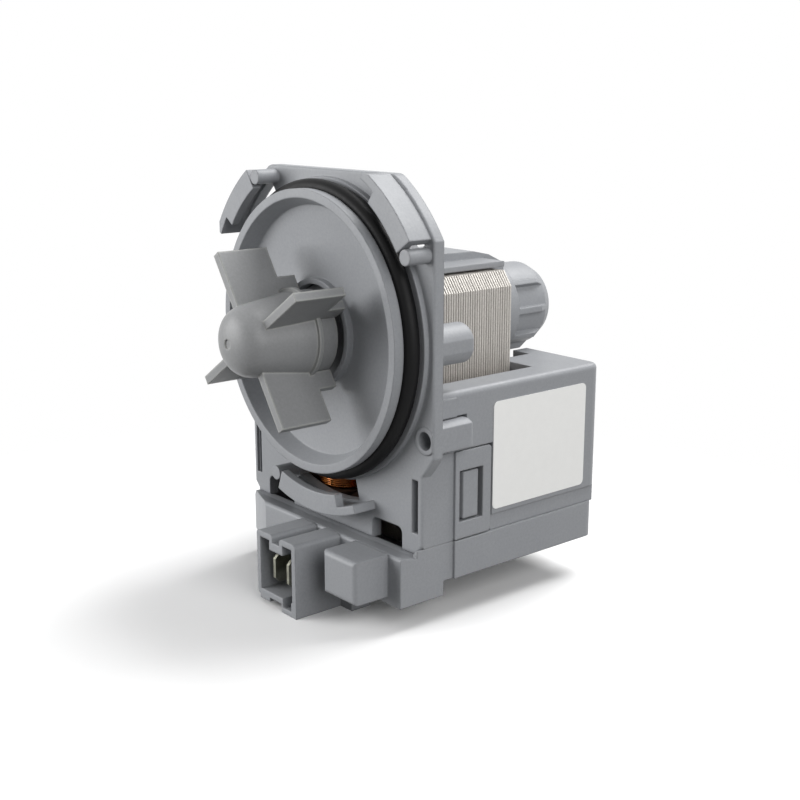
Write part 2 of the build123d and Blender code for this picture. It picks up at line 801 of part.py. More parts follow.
# Coil housing: a hood over both windings, open below and towards the plate
with BuildPart() as coil_housing:
    with BuildSketch(Plane.XY.offset(-parting_drop)) as case_outline:
        span_rectangle(-case_half_width, case_half_width, case_front, case_back)
        fillet(case_outline.vertices().group_by(Axis.Y)[-1], case_corner)
    extrude(amount=parting_drop - case_top_drop)
    fillet(coil_housing.faces().sort_by(Axis.Z)[-1].edges(), case_top_round)
    with BuildSketch(Plane.XY.offset(-parting_drop)) as band_outline:
        span_rectangle(
            -case_half_width - overrun, case_half_width + overrun, case_front, case_back + overrun
        )
        span_rectangle(
            case_band_depth - case_half_width,
            case_half_width - case_band_depth,
            case_front,
            case_back - case_band_depth,
            Mode.SUBTRACT,
        )
    extrude(amount=parting_drop - case_band_top_drop, mode=Mode.SUBTRACT)
    with BuildSketch(Plane.XY.offset(-parting_drop)):
        span_rectangle(
            case_wall - case_half_width,
            case_half_width - case_wall,
            case_step_back,
            case_back - case_wall,
        )
        span_rectangle(-case_front_inner, case_front_inner, case_front, case_step_back)
    extrude(amount=parting_drop - case_top_drop - case_wall, mode=Mode.SUBTRACT)
    # Openings in the top for the stator legs and, behind them, for the rotor cup
    with BuildSketch(Plane.XY.offset(-case_top_drop)):
        span_rectangle(
            -case_window_half_width,
            case_window_half_width,
            case_window_front,
            stack_back + case_recess_clear,
        )
        span_rectangle(
            -case_pocket_half_width, case_pocket_half_width, stack_front, case_pocket_back
        )
    extrude(amount=-case_wall, mode=Mode.SUBTRACT)
    with BuildSketch(Plane.XY.offset(-case_top_drop)):
        span_rectangle(
            -case_saddle_half_width, case_saddle_half_width, case_front, case_back + overrun
        )
    extrude(amount=-case_saddle_depth, mode=Mode.SUBTRACT)
    for side in (-1, 1):
        # Recess for the skirt and the clip arm, with the latch the arm snaps over
        with BuildSketch(Plane.YZ.offset(side * case_recess_outer)):
            span_rectangle(case_front, case_recess_back, -parting_drop, -case_recess_top_drop)
        extrude(amount=side * (case_half_width - case_recess_outer), mode=Mode.SUBTRACT)
        with BuildSketch(Plane.XY.offset(-window_bottom_drop + latch_side_gap)):
            with BuildLine():
                Polyline(
                    (side * case_recess_outer, latch_front),
                    (side * (arm_half_width - case_recess_clear), latch_front + latch_side_gap),
                    (side * (arm_half_width - case_recess_clear), latch_back),
                    (side * case_recess_outer, latch_back),
                    close=True,
                )
            make_face()
        extrude(amount=window_bottom_drop - window_top_drop - 2 * latch_side_gap)
        # Room for the screw boss
        with BuildSketch(Plane.XZ.offset(-case_front)):
            with Locations((side * screw_x, -screw_drop)):
                Circle(screw_boss_radius + case_recess_clear)
        extrude(amount=-(boss_back + case_recess_clear - case_front), mode=Mode.SUBTRACT)
        with BuildSketch(Plane.YZ.offset(side * case_half_width)):
            span_rectangle(
                case_front, guide_pad_back, -guide_pad_bottom_drop, -guide_pad_top_drop
            )
        extrude(amount=side * guide_pad_height)
coil_housing.part.label = "coil_housing"
export_step(coil_housing.part, "parts/coil_housing.step")

# Bare label on the side of the coil housing
with BuildPart() as rating_label:
    with BuildSketch(Plane.YZ.offset(case_half_width)):
        with Locations((label_front + label_length / 2, -label_top_drop - label_height / 2)):
            RectangleRounded(label_length, label_height, label_corner)
    extrude(amount=label_thickness)
rating_label.part.label = "rating_label"
export_step(rating_label.part, "parts/rating_label.step")

# Base tray with the connector shroud and the box of the thermal cut-out
tab_xs = (tab_centre_x - tab_pitch / 2, tab_centre_x + tab_pitch / 2)
with BuildPart() as base_tray:
    with BuildSketch(Plane.XY.offset(-parting_drop)) as tray_outline:
        span_rectangle(-case_half_width, case_half_width, skirt_depth, tray_back)
        fillet(tray_outline.vertices().group_by(Axis.Y)[-1], tray_corner)
        with BuildLine():
            Polyline(
                (-skirt_half_width, skirt_depth),
                (-skirt_half_width, -block_bevel_y),
                (-block_bevel_x, -block_front),
                (skirt_half_width, -block_front),
                (skirt_half_width, skirt_depth),
                close=True,
            )
        make_face()
    extrude(amount=-(tray_bottom_drop - parting_drop))
    with BuildSketch(Plane.XY.offset(-tray_bottom_drop)):
        with BuildLine():
            Polyline(
                (-skirt_half_width, block_back),
                (-skirt_half_width, -block_bevel_y),
                (-block_bevel_x, -block_front),
                (skirt_half_width, -block_front),
                (skirt_half_width, block_back),
                close=True,
            )
        make_face()
    extrude(amount=-(block_bottom_drop - tray_bottom_drop))
    # Ledge in front of the plate, falling towards it, and the seat for the plate's foot
    with BuildSketch(Plane.YZ.offset(-skirt_half_width)):
        with BuildLine():
            Polyline(
                (-block_front, -ledge_front_drop),
                (-block_front, overrun - parting_drop),
                (-ledge_cheek_front, overrun - parting_drop),
                (-ledge_cheek_front, -plate_foot_drop),
                close=True,
            )
        make_face()
    extrude(amount=2 * skirt_half_width, mode=Mode.SUBTRACT)
    with BuildSketch(Plane.XZ.offset(ledge_cheek_front)):
        foot_outline(plate_seat_gap)
        span_rectangle(-skirt_half_width, 0, -plate_foot_drop, 0)
    extrude(amount=-(ledge_cheek_front + plate_thickness + plate_seat_gap), mode=Mode.SUBTRACT)
    with BuildSketch(Plane.XZ.offset(block_front)):
        with BuildLine():
            Polyline(
                (-plate_foot_half_width, -plate_foot_drop),
                (-skirt_half_width, -plate_foot_drop - plate_foot_bevel),
                (-skirt_half_width, -plate_foot_drop),
                close=True,
            )
        make_face()
    extrude(amount=-(block_front + plate_thickness), mode=Mode.SUBTRACT)
    fillet(
        base_tray.edges().filter_by(Axis.X).group_by(Axis.Y)[0].sort_by(Axis.Z)[-1],
        block_edge_round,
    )
    # Room inside for the yoke and the leads
    with BuildSketch(Plane.XY.offset(-parting_drop)):
        span_rectangle(
            tray_wall - skirt_half_width,
            skirt_half_width - tray_wall,
            tray_cavity_front,
            tray_back - tray_wall,
        )
    extrude(amount=-(tray_bottom_drop - tray_floor - parting_drop), mode=Mode.SUBTRACT)
    # Connector shroud with its feet
    groove_left = shroud_key_centre - shroud_groove_width / 2
    groove_right = shroud_key_centre + shroud_groove_width / 2
    with BuildSketch(Plane.XZ.offset(shroud_front)) as shroud_outline:
        span_rectangle(-shroud_left, shroud_right, -shroud_bottom_drop, -shroud_top_drop)
        span_rectangle(
            groove_left,
            groove_right,
            -shroud_top_drop - shroud_groove_depth,
            -shroud_top_drop,
            Mode.SUBTRACT,
        )
        fillet(shroud_outline.vertices().group_by(Axis.Y)[-1], shroud_corner)
        fillet(shroud_outline.vertices().group_by(Axis.Y)[0], shroud_corner)
        span_rectangle(
            shroud_foot_left, shroud_right, -shroud_foot_drop, -shroud_middle_drop
        )
        span_rectangle(
            -shroud_left + shroud_corner, shroud_toe_right, -shroud_toe_drop, -shroud_middle_drop
        )
    extrude(amount=-(shroud_front - block_front))
    with BuildSketch(Plane.XZ.offset(block_front)):
        span_rectangle(
            -shroud_left, shroud_right, -shroud_bottom_drop, -ledge_front_drop - shroud_groove_depth
        )
        span_rectangle(foot_left - overrun, foot_right, -shroud_foot_drop, -tray_bottom_drop)
    extrude(amount=-(block_front - foot_back))
    # Box of the thermal cut-out
    with BuildSketch(Plane.XZ.offset(cutout_box_front)) as cutout_outline:
        span_rectangle(
            cutout_box_left, cutout_box_right, -cutout_box_bottom_drop, -ledge_front_drop
        )
    extrude(amount=-(cutout_box_front - block_front))
    fillet(
        base_tray.faces().sort_by(Axis.Y).filter_by(Axis.Y)[1].edges(), cutout_box_round
    )
    with BuildSketch(Plane.XZ.offset(cutout_box_front - cutout_box_wall)):
        span_rectangle(
            cutout_box_left + cutout_box_wall,
            cutout_box_right - cutout_box_wall,
            cutout_box_wall - cutout_box_bottom_drop,
            -ledge_front_drop - cutout_box_wall,
        )
    extrude(amount=-(cutout_box_front - cutout_box_wall + tray_cavity_front), mode=Mode.SUBTRACT)
    # Socket with the step that hangs from its roof
    with BuildSketch(Plane.XZ.offset(shroud_front)):
        span_rectangle(
            shroud_wall - shroud_left,
            shroud_right - shroud_wall,
            shroud_wall - shroud_bottom_drop,
            -shroud_top_drop - shroud_wall,
        )
        span_rectangle(
            shroud_key_centre - shroud_key_width / 2,
            shroud_key_centre + shroud_key_width / 2,
            -shroud_top_drop - shroud_wall - shroud_key_depth,
            -shroud_top_drop - shroud_wall,
            Mode.SUBTRACT,
        )
        span_rectangle(
            latch_pocket_left, latch_pocket_right, -latch_pocket_drop, -shroud_middle_drop
        )
    extrude(amount=-(shroud_front - shroud_cavity_back), mode=Mode.SUBTRACT)
    # Slots that the terminals are pushed through
    with BuildSketch(Plane.XZ.offset(shroud_cavity_back)):
        for tab_x in tab_xs:
            span_rectangle(
                tab_x - tab_thickness / 2 - tab_slot_gap,
                tab_x + tab_thickness / 2 + tab_slot_gap,
                -tab_centre_drop - tab_tail_width / 2 - tab_slot_gap,
                -tab_centre_drop + tab_tail_width / 2 + tab_slot_gap,
            )
    extrude(amount=-(shroud_cavity_back + tray_cavity_front), mode=Mode.SUBTRACT)
    # The tray's floor drops at the terminals, so their tails lie clear inside
    with BuildSketch(Plane.XY.offset(-parting_drop)):
        span_rectangle(
            tab_xs[0] - tab_pitch / 2,
            tab_xs[1] + tab_pitch / 2,
            tray_cavity_front,
            block_back - tray_wall,
        )
    extrude(amount=-(block_bottom_drop - terminal_pit_floor - parting_drop), mode=Mode.SUBTRACT)
base_tray.part.label = "base_tray"
export_step(base_tray.part, "parts/base_tray.step")

# Terminals and the leads from them to the bobbins
for tab_x, (side, side_name) in zip(tab_xs, side_names):
    with BuildPart() as terminal:
        with BuildSketch(Plane.YZ.offset(tab_x - tab_thickness / 2)):
            with BuildLine():
                Polyline(
                    (tab_tip_recess - shroud_front, tab_width / 2 - tab_bevel - tab_centre_drop),
                    (tab_tip_recess - shroud_front + tab_bevel, tab_width / 2 - tab_centre_drop),
                    (-shroud_cavity_back, tab_width / 2 - tab_centre_drop),
                    (-shroud_cavity_back, tab_tail_width / 2 - tab_centre_drop),
                    (tab_tail_back, tab_tail_width / 2 - tab_centre_drop),
                    (tab_tail_back, -tab_tail_width / 2 - tab_centre_drop),
                    (-shroud_cavity_back, -tab_tail_width / 2 - tab_centre_drop),
                    (-shroud_cavity_back, -tab_width / 2 - tab_centre_drop),
                    (tab_tip_recess - shroud_front + tab_bevel, -tab_width / 2 - tab_centre_drop),
                    (tab_tip_recess - shroud_front, tab_bevel - tab_width / 2 - tab_centre_drop),
                    close=True,
                )
            make_face()
        extrude(amount=tab_thickness)
    terminal.part.label = f"terminal_{side_name}"
    export_step(terminal.part, f"parts/terminal_{side_name}.step")

    lead_bottom = tab_tail_width / 2 - tab_centre_drop
    lead_y = tab_tail_back - lead_radius
    with BuildPart() as lead:
        with BuildLine() as lead_path:
            FilletPolyline(
                (tab_x, lead_y, lead_bottom),
                (tab_x, lead_y, lead_bottom + 2 * lead_reach),
                (tab_x + side * lead_reach, lead_y, lead_bottom + 2 * lead_reach),
                (tab_x + side * lead_reach, lead_y, -bobbin_bottom_drop),
                radius=lead_bend,
            )
        with BuildSketch(Plane.XY.offset(lead_bottom)):
            with Locations((tab_x, lead_y)):
                Circle(lead_radius)
        sweep()
    lead.part.label = f"lead_{side_name}"
    export_step(lead.part, f"parts/lead_{side_name}.step")

# Thermal cut-out lying on the floor of its box
cutout_floor = cutout_box_wall - cutout_box_bottom_drop
with BuildPart() as thermal_cutout:
    with BuildSketch(Plane.XY.offset(cutout_floor)):
        with Locations(
            (
                (cutout_box_left + cutout_box_right) / 2,
                cutout_box_wall + cutout_side_gap - cutout_box_front + cutout_length / 2,
            )
        ):
            RectangleRounded(
                cutout_box_right - cutout_box_left - 2 * (cutout_box_wall + cutout_side_gap),
                cutout_length,
                cutout_box_round,
            )
    extrude(amount=cutout_height)
thermal_cutout.part.label = "thermal_cutout"
export_step(thermal_cutout.part, "parts/thermal_cutout.step")

# Rotor: shaft, moulded core with two cheeks, ring magnet and thrust washers
with BuildPart() as shaft:
    with BuildSketch(Plane.XZ.offset(shaft_front)):
        Circle(shaft_radius)
    extrude(amount=-(shaft_front + shaft_back))
    chamfer(shaft.edges().filter_by(GeomType.CIRCLE), shaft_radius / 6)
shaft.part.label = "shaft"
export_step(shaft.part, "parts/shaft.step")

with BuildPart() as rotor_core:
    with BuildSketch(Plane.XY):
        with BuildLine():
            Polyline(
                (shaft_radius, core_front),
                (core_cheek_radius, core_front),
                (core_cheek_radius, stack_front),
                (core_radius, stack_front),
                (core_radius, stack_back),
                (core_cheek_radius, stack_back),
                (core_cheek_radius, stack_back + core_cheek),
                (core_radius, stack_back + core_cheek),
                (core_radius, core_back),
                (shaft_radius, core_back),
                close=True,
            )
        make_face()
    revolve(axis=Axis.Y)
rotor_core.part.label = "rotor_core"
export_step(rotor_core.part, "parts/rotor_core.step")

with BuildPart() as magnet:
    with BuildSketch(Plane.XZ.offset(-stack_front)):
        Circle(magnet_radius)
        Circle(core_radius, mode=Mode.SUBTRACT)
    extrude(amount=-(stack_back - stack_front))
    chamfer(
        magnet.edges().filter_by(GeomType.CIRCLE).sort_by(SortBy.RADIUS)[-2:], magnet_chamfer
    )
magnet.part.label = "magnet"
export_step(magnet.part, "parts/magnet.step")

for washer_name, washer_front in (
    ("thrust_washer_front", carrier_back + end_float),
    ("thrust_washer_rear", core_back + end_float),
):
    with BuildPart() as washer:
        with BuildSketch(Plane.XZ.offset(-washer_front)):
            Circle(washer_radius)
            Circle(shaft_radius, mode=Mode.SUBTRACT)
        extrude(amount=-washer_thickness)
    washer.part.label = washer_name
    export_step(washer.part, f"parts/{washer_name}.step")

# Impeller: hollow tapered hub, rounded nose, four flat blades and the stop inside the hub
with BuildPart() as impeller:
    with BuildSketch(Plane.XY):
        with BuildLine():
            Spline(
                (0, -nose_front),
                (hub_front_radius, -blade_front),
                tangents=((1, 0), (hub_back_radius - hub_front_radius, blade_front - hub_back)),
            )
            Polyline(
                (hub_front_radius, -blade_front),
                (hub_back_radius, -hub_back - hub_rim_length),
                (hub_rim_radius, -hub_back - hub_rim_length),
                (hub_rim_radius, -hub_back),
                (0, -hub_back),
                (0, -nose_front),
            )
        make_face()
    revolve(axis=Axis.Y)
    # Blades, each with a step where it clears the collar of the dish
    with BuildSketch(Plane.XZ.offset(blade_front)):
        with PolarLocations(blade_radius / 2, blade_count, start_angle=blade_phase):
            Rectangle(blade_radius, blade_thickness)
    extrude(amount=-(blade_front - blade_step_back))
    with BuildSketch(Plane.XZ.offset(blade_step_back)):
        with PolarLocations(blade_root_radius / 2, blade_count, start_angle=blade_phase):
            Rectangle(blade_root_radius, blade_thickness)
    extrude(amount=-(blade_step_back - blade_root_back))
    # Cavity for the drive dog, room for the cap behind it and the socket for the shaft's tip
    with BuildSketch(Plane.XY):
        with BuildLine():
            Polyline(
                (0, -hub_socket_front),
                (shaft_radius + running_gap, -hub_socket_front),
                (shaft_radius + running_gap, -hub_cavity_front),
                (cavity_front_radius, -hub_cavity_front),
                (cavity_back_radius, -hub_back),
                (hub_neck_radius + cap_spigot_gap, -hub_back),
                (hub_neck_radius + cap_spigot_gap, -blade_root_back + overrun),
                (0, -blade_root_back + overrun),
                close=True,
            )
        make_face()
    revolve(axis=Axis.Y, mode=Mode.SUBTRACT)
    with BuildSketch(Plane.XZ.offset(hub_cavity_front)):
        ring_sector(
            stop_inner_radius, cavity_front_radius + cap_spigot_gap, -stop_half_angle, 2 * stop_half_angle
        )
    extrude(amount=-(hub_cavity_front - stop_back))
    with BuildSketch(Plane.XZ.offset(nose_front)):
        Circle(nose_dimple_radius)
    extrude(amount=-nose_dimple_depth, mode=Mode.SUBTRACT)
impeller.part.label = "impeller"
export_step(impeller.part, "parts/impeller.step")

# Cap that closes the hub behind the drive dog
with BuildPart() as hub_cap:
    with BuildSketch(Plane.XY):
        with BuildLine():
            Polyline(
                (shaft_radius + cap_bore_gap, -cap_front),
                (cap_spigot_radius, -cap_front),
                (cap_spigot_radius, -hub_back),
                (hub_neck_radius, -hub_back),
                (hub_neck_radius, -cap_back),
                (shaft_radius + cap_bore_gap, -cap_back),
                close=True,
            )
        make_face()
    revolve(axis=Axis.Y)
hub_cap.part.label = "hub_cap"
export_step(hub_cap.part, "parts/hub_cap.step")

# Drive dog, opposite the hub's stop when the pump is at rest
with BuildPart() as drive_dog:
    with BuildSketch(Plane.XZ.offset(hub_cavity_front - dog_front_gap)):
        Circle(dog_hub_radius)
        ring_sector(
            shaft_radius, cavity_front_radius - dog_reach_gap, 180 - dog_half_angle, 2 * dog_half_angle
        )
        Circle(shaft_radius, mode=Mode.SUBTRACT)
    extrude(amount=-(hub_cavity_front - dog_front_gap - dog_back))
drive_dog.part.label = "drive_dog"
export_step(drive_dog.part, "parts/drive_dog.step")

# Rubber pads on both faces of the hub's stop
with BuildPart() as stop_pads:
    for turn in (-1, 1):
        across = Vector(-sin(radians(turn * stop_half_angle)), 0, cos(radians(turn * stop_half_angle)))
        along = Vector(cos(radians(turn * stop_half_angle)), 0, sin(radians(turn * stop_half_angle)))
        pad_plane = Plane(
            origin=across * (turn * pad_thickness / 2) - Vector(0, hub_cavity_front, 0),
            x_dir=along,
            z_dir=(0, -1, 0),
        )
        with BuildSketch(pad_plane):
            span_rectangle(
                stop_inner_radius, cavity_front_radius - cap_spigot_gap, -pad_thickness / 2, pad_thickness / 2
            )
        extrude(amount=-(hub_cavity_front - stop_back))
stop_pads.part.label = "stop_pads"
export_step(stop_pads.part, "parts/stop_pads.step")
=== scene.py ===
"""Looks of a washer drain pump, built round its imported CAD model."""

import math

import bmesh
import bpy
from bpy.props import FloatProperty, FloatVectorProperty, IntProperty, PointerProperty
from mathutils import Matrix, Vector


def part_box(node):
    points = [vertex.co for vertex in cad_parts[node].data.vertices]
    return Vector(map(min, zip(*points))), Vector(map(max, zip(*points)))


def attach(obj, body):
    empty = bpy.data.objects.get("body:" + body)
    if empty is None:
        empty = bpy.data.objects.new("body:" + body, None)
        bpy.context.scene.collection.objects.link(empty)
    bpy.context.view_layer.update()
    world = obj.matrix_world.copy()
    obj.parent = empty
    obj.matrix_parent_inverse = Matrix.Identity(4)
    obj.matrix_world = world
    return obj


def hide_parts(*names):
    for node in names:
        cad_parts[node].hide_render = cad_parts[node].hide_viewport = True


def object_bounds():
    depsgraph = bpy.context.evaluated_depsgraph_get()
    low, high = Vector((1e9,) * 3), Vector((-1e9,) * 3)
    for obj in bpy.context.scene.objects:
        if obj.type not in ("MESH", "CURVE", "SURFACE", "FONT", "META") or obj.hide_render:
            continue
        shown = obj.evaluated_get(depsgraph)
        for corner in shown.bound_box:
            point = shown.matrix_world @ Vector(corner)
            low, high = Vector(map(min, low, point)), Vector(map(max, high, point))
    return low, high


bl_info = {
    "name": "Washer drain pump",
    "version": (1, 0, 0),
    "blender": (4, 5, 0),
    "location": "3D View > Sidebar > Drain pump",
    "description": "Gives a drain pump its moulded plastic, laminated steel, windings and stage",
    "category": "Object",
}

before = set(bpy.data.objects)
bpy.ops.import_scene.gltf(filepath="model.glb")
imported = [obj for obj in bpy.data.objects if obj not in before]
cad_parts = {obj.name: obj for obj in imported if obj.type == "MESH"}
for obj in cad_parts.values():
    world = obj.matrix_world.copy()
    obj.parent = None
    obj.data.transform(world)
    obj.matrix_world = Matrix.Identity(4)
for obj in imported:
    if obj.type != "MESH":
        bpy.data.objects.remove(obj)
CAD_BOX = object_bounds()
SIDES = ("left", "right")
# The values that noise keeps to, as inputs of a Map Range node
NOISE_SPAN = {"From Min": 0.3, "From Max": 0.7}
# Steps along the pole's bore, and round one corner of a winding
BORE_STEPS = 20
CORNER_STEPS = 8
WIRE_SIDES = 6
FLOOR_HALF = 2.0
# Where the floor starts to fade, as a share of its reach
FADE_START_SHARE = 0.35
SOFTBOX_SIZE = 0.5
SENSOR_WIDTH_MM = 36.0
# The photograph's viewpoint, worked out from the pump's own sizes
CAMERA_PLACE = Vector((0.21547, -0.16129, 0.05041))
CAMERA_TARGET = Vector((0.00143, 0.01870, -0.01843))


def to_linear(code):
    """Linear colour with alpha from a six-digit sRGB hex code."""
    parts = [int(code[i : i + 2], 16) / 255 for i in (0, 2, 4)]
    bent = [p / 12.92 if p <= 0.04045 else ((p + 0.055) / 1.055) ** 2.4 for p in parts]
    return (*bent, 1.0)


def colour(name, description, code):
    """A colour that a user may change, with its sRGB hex code as default."""
    return FloatVectorProperty(
        name=name,
        description=description,
        subtype="COLOR",
        size=4,
        min=0,
        max=1,
        default=to_linear(code),
    )


def length(name, description, default):
    """A size in metres that a user may change."""
    return FloatProperty(
        name=name, description=description, default=default, min=0, unit="LENGTH", precision=5
    )


def watts(name, description, default):
    """A lamp's power in watts that a user may change."""
    return FloatProperty(
        name=name, description=description, default=default, min=0, subtype="POWER"
    )


class PumpColours(bpy.types.PropertyGroup):
    """Colours of the pump's finishes."""

    housing: colour("Housing", "Grey polypropylene of the mouldings", "8E9093")
    housing_shade: colour("Housing shade", "The same where it flowed thinner", "888A8E")
    impeller: colour("Impeller", "Grey polypropylene of the impeller", "868788")
    impeller_shade: colour("Impeller shade", "The same where it flowed thinner", "808182")
    # Painted highlight colour along the blades' thin edges
    impeller_edge_highlight: colour("Impeller edges", "Thin edges, which light passes", "ABACA8")
    rubber: colour("Rubber", "Black rubber of the O-ring", "0B0B0C")
    steel: colour("Sheet edge", "Sheared edge of the electrical steel", "C4C0BA")
    steel_dark: colour("Sheet edge, oxidised", "Dull stretches of the sheared edge", "999590")
    bobbin: colour("Bobbin", "Brown nylon of the winding formers", "33251C")
    copper: colour("Copper", "Enamelled winding wire", "A9652B")
    tin: colour("Terminal tin", "Tinned brass of the tabs", "929285")
    label: colour("Label", "Bare face of the label", "EAEAE8")
    shaft: colour("Shaft", "Ground stainless steel", "C8C8C6")
    magnet: colour("Magnet", "Sintered ferrite", "2B2B2D")
    bush: colour("Bush", "Bearing plastic", "B9AF97")


class PumpSizes(bpy.types.PropertyGroup):
    """Sizes of what the frame carries only as plain solids."""

    sheet_pitch: length("Sheet pitch", "Thickness of one stator sheet with its gap", 0.0007)
    sheet_gap: length("Sheet gap", "Air between two sheets at their edges", 0.00016)
    sheet_round: length("Sheet edge", "Rounding of a sheared edge", 0.00011)
    sheet_scatter: length("Sheet scatter", "How far a sheet may sit out of line", 0.00003)
    bore_radius: length("Pole bore", "Radius of the bore round the rotor cup", 0.01145)
    pole_half_gap: length("Pole gap", "Half the gap between the poles", 0.0073)
    leg_width: length("Leg width", "Width of a stator leg inside its coil", 0.009)
    shoulder_width: length("Shoulder width", "Width of the bevel on the shoulder", 0.0024)
    shoulder_height: length("Shoulder height", "Height of the bevel on the shoulder", 0.0033)
    wire: length("Wire", "Diameter of the winding wire, drawn coarser to show", 0.00045)
    winding_round: length("Winding corner", "Corner radius of the outer turns", 0.005)
    tube_half_width: length("Tube half width", "Half the bobbin tube's size across", 0.0056)
    tube_half_depth: length("Tube half depth", "Half the bobbin tube's size along", 0.0141)
    turn_steps: IntProperty(
        name="Steps per turn",
        description="Points along one turn of wire",
        default=40,
        min=12,
        max=96,
    )


class PumpStage(bpy.types.PropertyGroup):
    """Floor, light and camera."""

    floor: colour("Floor", "Pale paper under the pump", "F4F4F4")
    floor_bounce: colour("Floor bounce", "What the paper throws back on the pump", "5E5E5E")
    floor_reach: length("Floor reach", "Where the floor has faded into white", 0.155)
    sky: FloatProperty(
        name="Sky", description="Strength of the even light from all round", default=0.20, min=0
    )
    overhead_power: watts("Overhead power", "Softbox above and behind the flange", 7.3)
    front_power: watts("Front power", "Softbox at the camera's left", 6.0)
    side_power: watts("Side power", "Softbox at the camera's right", 3.0)
    lens: FloatProperty(
        name="Lens",
        description="Focal length that gives the photograph's view",
        default=56.87,
        subtype="DISTANCE_CAMERA",
    )


def add_node(tree, kind, settings=None, sockets=None):
    """Add one node, with its settings and with a value or a link for each named socket."""
    node = tree.nodes.new(kind)
    for key, value in (settings or {}).items():
        setattr(node, key, value)
    for key, value in (sockets or {}).items():
        if isinstance(value, bpy.types.NodeSocket):
            tree.links.new(value, node.inputs[key])
        else:
            node.inputs[key].default_value = value
    return node


def new_finish(name):
    """An empty node material and its tree."""
    material = bpy.data.materials.new(name)
    material.use_nodes = True
    material.node_tree.nodes.clear()
    return material, material.node_tree


def end_finish(tree, shader):
    """Close a material with its output."""
    add_node(tree, "ShaderNodeOutputMaterial", None, {"Surface": shader.outputs[0]})


def moulded_polypropylene(name, main, shade, roughness, scatter=0.0, edge=None):
    """Injection-moulded polypropylene from a spark-eroded mould, IOR 1.49: satin, with faint flow
    clouds about 12 mm wide, mineral filler specks and moulded edges of about 0.5 mm radius."""
    cloud_width = 0.012
    # Filler specks are finer than 0.1 mm; drawn 0.6 mm wide to show
    speck_width = 0.0006
    speck_height = 0.00003
    edge_radius = 0.0005
    highlight_width = 0.001
    material, tree = new_finish(name)
    place = add_node(tree, "ShaderNodeTexCoord").outputs["Object"]
    flow = add_node(
        tree,
        "ShaderNodeTexNoise",
        None,
        {"Vector": place, "Scale": 1 / cloud_width, "Detail": 3.0, "Roughness": 0.6},
    )
    specks = add_node(
        tree,
        "ShaderNodeTexNoise",
        None,
        {"Vector": place, "Scale": 1 / speck_width, "Detail": 2.0, "Roughness": 0.7},
    )
    clouds = add_node(
        tree, "ShaderNodeMix", {"data_type": "RGBA"}, {0: flow.outputs[0], 6: main, 7: shade}
    )
    speck_strength = add_node(
        tree,
        "ShaderNodeMapRange",
        None,
        {"Value": specks.outputs[0], **NOISE_SPAN, "To Min": 0.95, "To Max": 1.05},
    )
    tone = add_node(
        tree,
        "ShaderNodeMix",
        {"data_type": "RGBA", "blend_type": "MULTIPLY"},
        {0: 1.0, 6: clouds.outputs[2], 7: speck_strength.outputs[0]},
    )
    if edge:
        # Painted highlight: the thin corners of a blade get a lighter colour, standing in for the
        # light that passes through them
        corners = add_node(tree, "ShaderNodeBevel", {"samples": 6}, {"Radius": highlight_width})
        true_normal = add_node(tree, "ShaderNodeNewGeometry").outputs["Normal"]
        turned = add_node(
            tree,
            "ShaderNodeVectorMath",
            {"operation": "DOT_PRODUCT"},
            {0: corners.outputs[0], 1: true_normal},
        )
        highlight_share = add_node(
            tree,
            "ShaderNodeMapRange",
            None,
            {"Value": turned.outputs["Value"], "From Min": 1.0, "From Max": 0.6},
        )
        tone = add_node(
            tree,
            "ShaderNodeMix",
            {"data_type": "RGBA"},
            {0: highlight_share.outputs[0], 6: tone.outputs[2], 7: edge},
        )
    dull = add_node(
        tree,
        "ShaderNodeMapRange",
        None,
        {
            "Value": flow.outputs[0],
            **NOISE_SPAN,
            "To Min": roughness - 0.04,
            "To Max": roughness + 0.05,
        },
    )
    edges = add_node(tree, "ShaderNodeBevel", {"samples": 6}, {"Radius": edge_radius})
    grain = add_node(
        tree,
        "ShaderNodeBump",
        None,
        {
            "Height": specks.outputs[0],
            "Distance": speck_height,
            "Strength": 0.35,
            "Normal": edges.outputs[0],
        },
    )
    shader = add_node(
        tree,
        "ShaderNodeBsdfPrincipled",
        None,
        {
            "Base Color": tone.outputs[2],
            "Roughness": dull.outputs[0],
            "IOR": 1.49,
            "Specular IOR Level": 0.35,
            "Subsurface Weight": scatter,
            "Subsurface Radius": (0.0012, 0.0012, 0.0011),
            "Subsurface Scale": 1.0,
            "Normal": grain.outputs[0],
        },
    )
    end_finish(tree, shader)
    return material


def plain_moulding(name, main, roughness, ior, cell, gloss=0.5):
    """A hidden or dark engineering plastic, ceramic or rubber with a grain of the given size."""
    grain_height = 0.00002
    material, tree = new_finish(name)
    place = add_node(tree, "ShaderNodeTexCoord").outputs["Object"]
    grain = add_node(
        tree,
        "ShaderNodeTexNoise",
        None,
        {"Vector": place, "Scale": 1 / cell, "Detail": 3.0, "Roughness": 0.6},
    )
    strength = add_node(
        tree,
        "ShaderNodeMapRange",
        None,
        {"Value": grain.outputs[0], **NOISE_SPAN, "To Min": 0.85, "To Max": 1.15},
    )
    tone = add_node(
        tree,
        "ShaderNodeMix",
        {"data_type": "RGBA", "blend_type": "MULTIPLY"},
        {0: 1.0, 6: main, 7: strength.outputs[0]},
    )
    dull = add_node(
        tree,
        "ShaderNodeMapRange",
        None,
        {
            "Value": grain.outputs[0],
            **NOISE_SPAN,
            "To Min": roughness - 0.05,
            "To Max": roughness + 0.05,
        },
    )
    relief = add_node(
        tree,
        "ShaderNodeBump",
        None,
        {"Height": grain.outputs[0], "Distance": grain_height, "Strength": 0.4},
    )
    shader = add_node(
        tree,
        "ShaderNodeBsdfPrincipled",
        None,
        {
            "Base Color": tone.outputs[2],
            "Roughness": dull.outputs[0],
            "IOR": ior,
            "Specular IOR Level": gloss,
            "Normal": relief.outputs[0],
        },
    )
    end_finish(tree, shader)
    return material


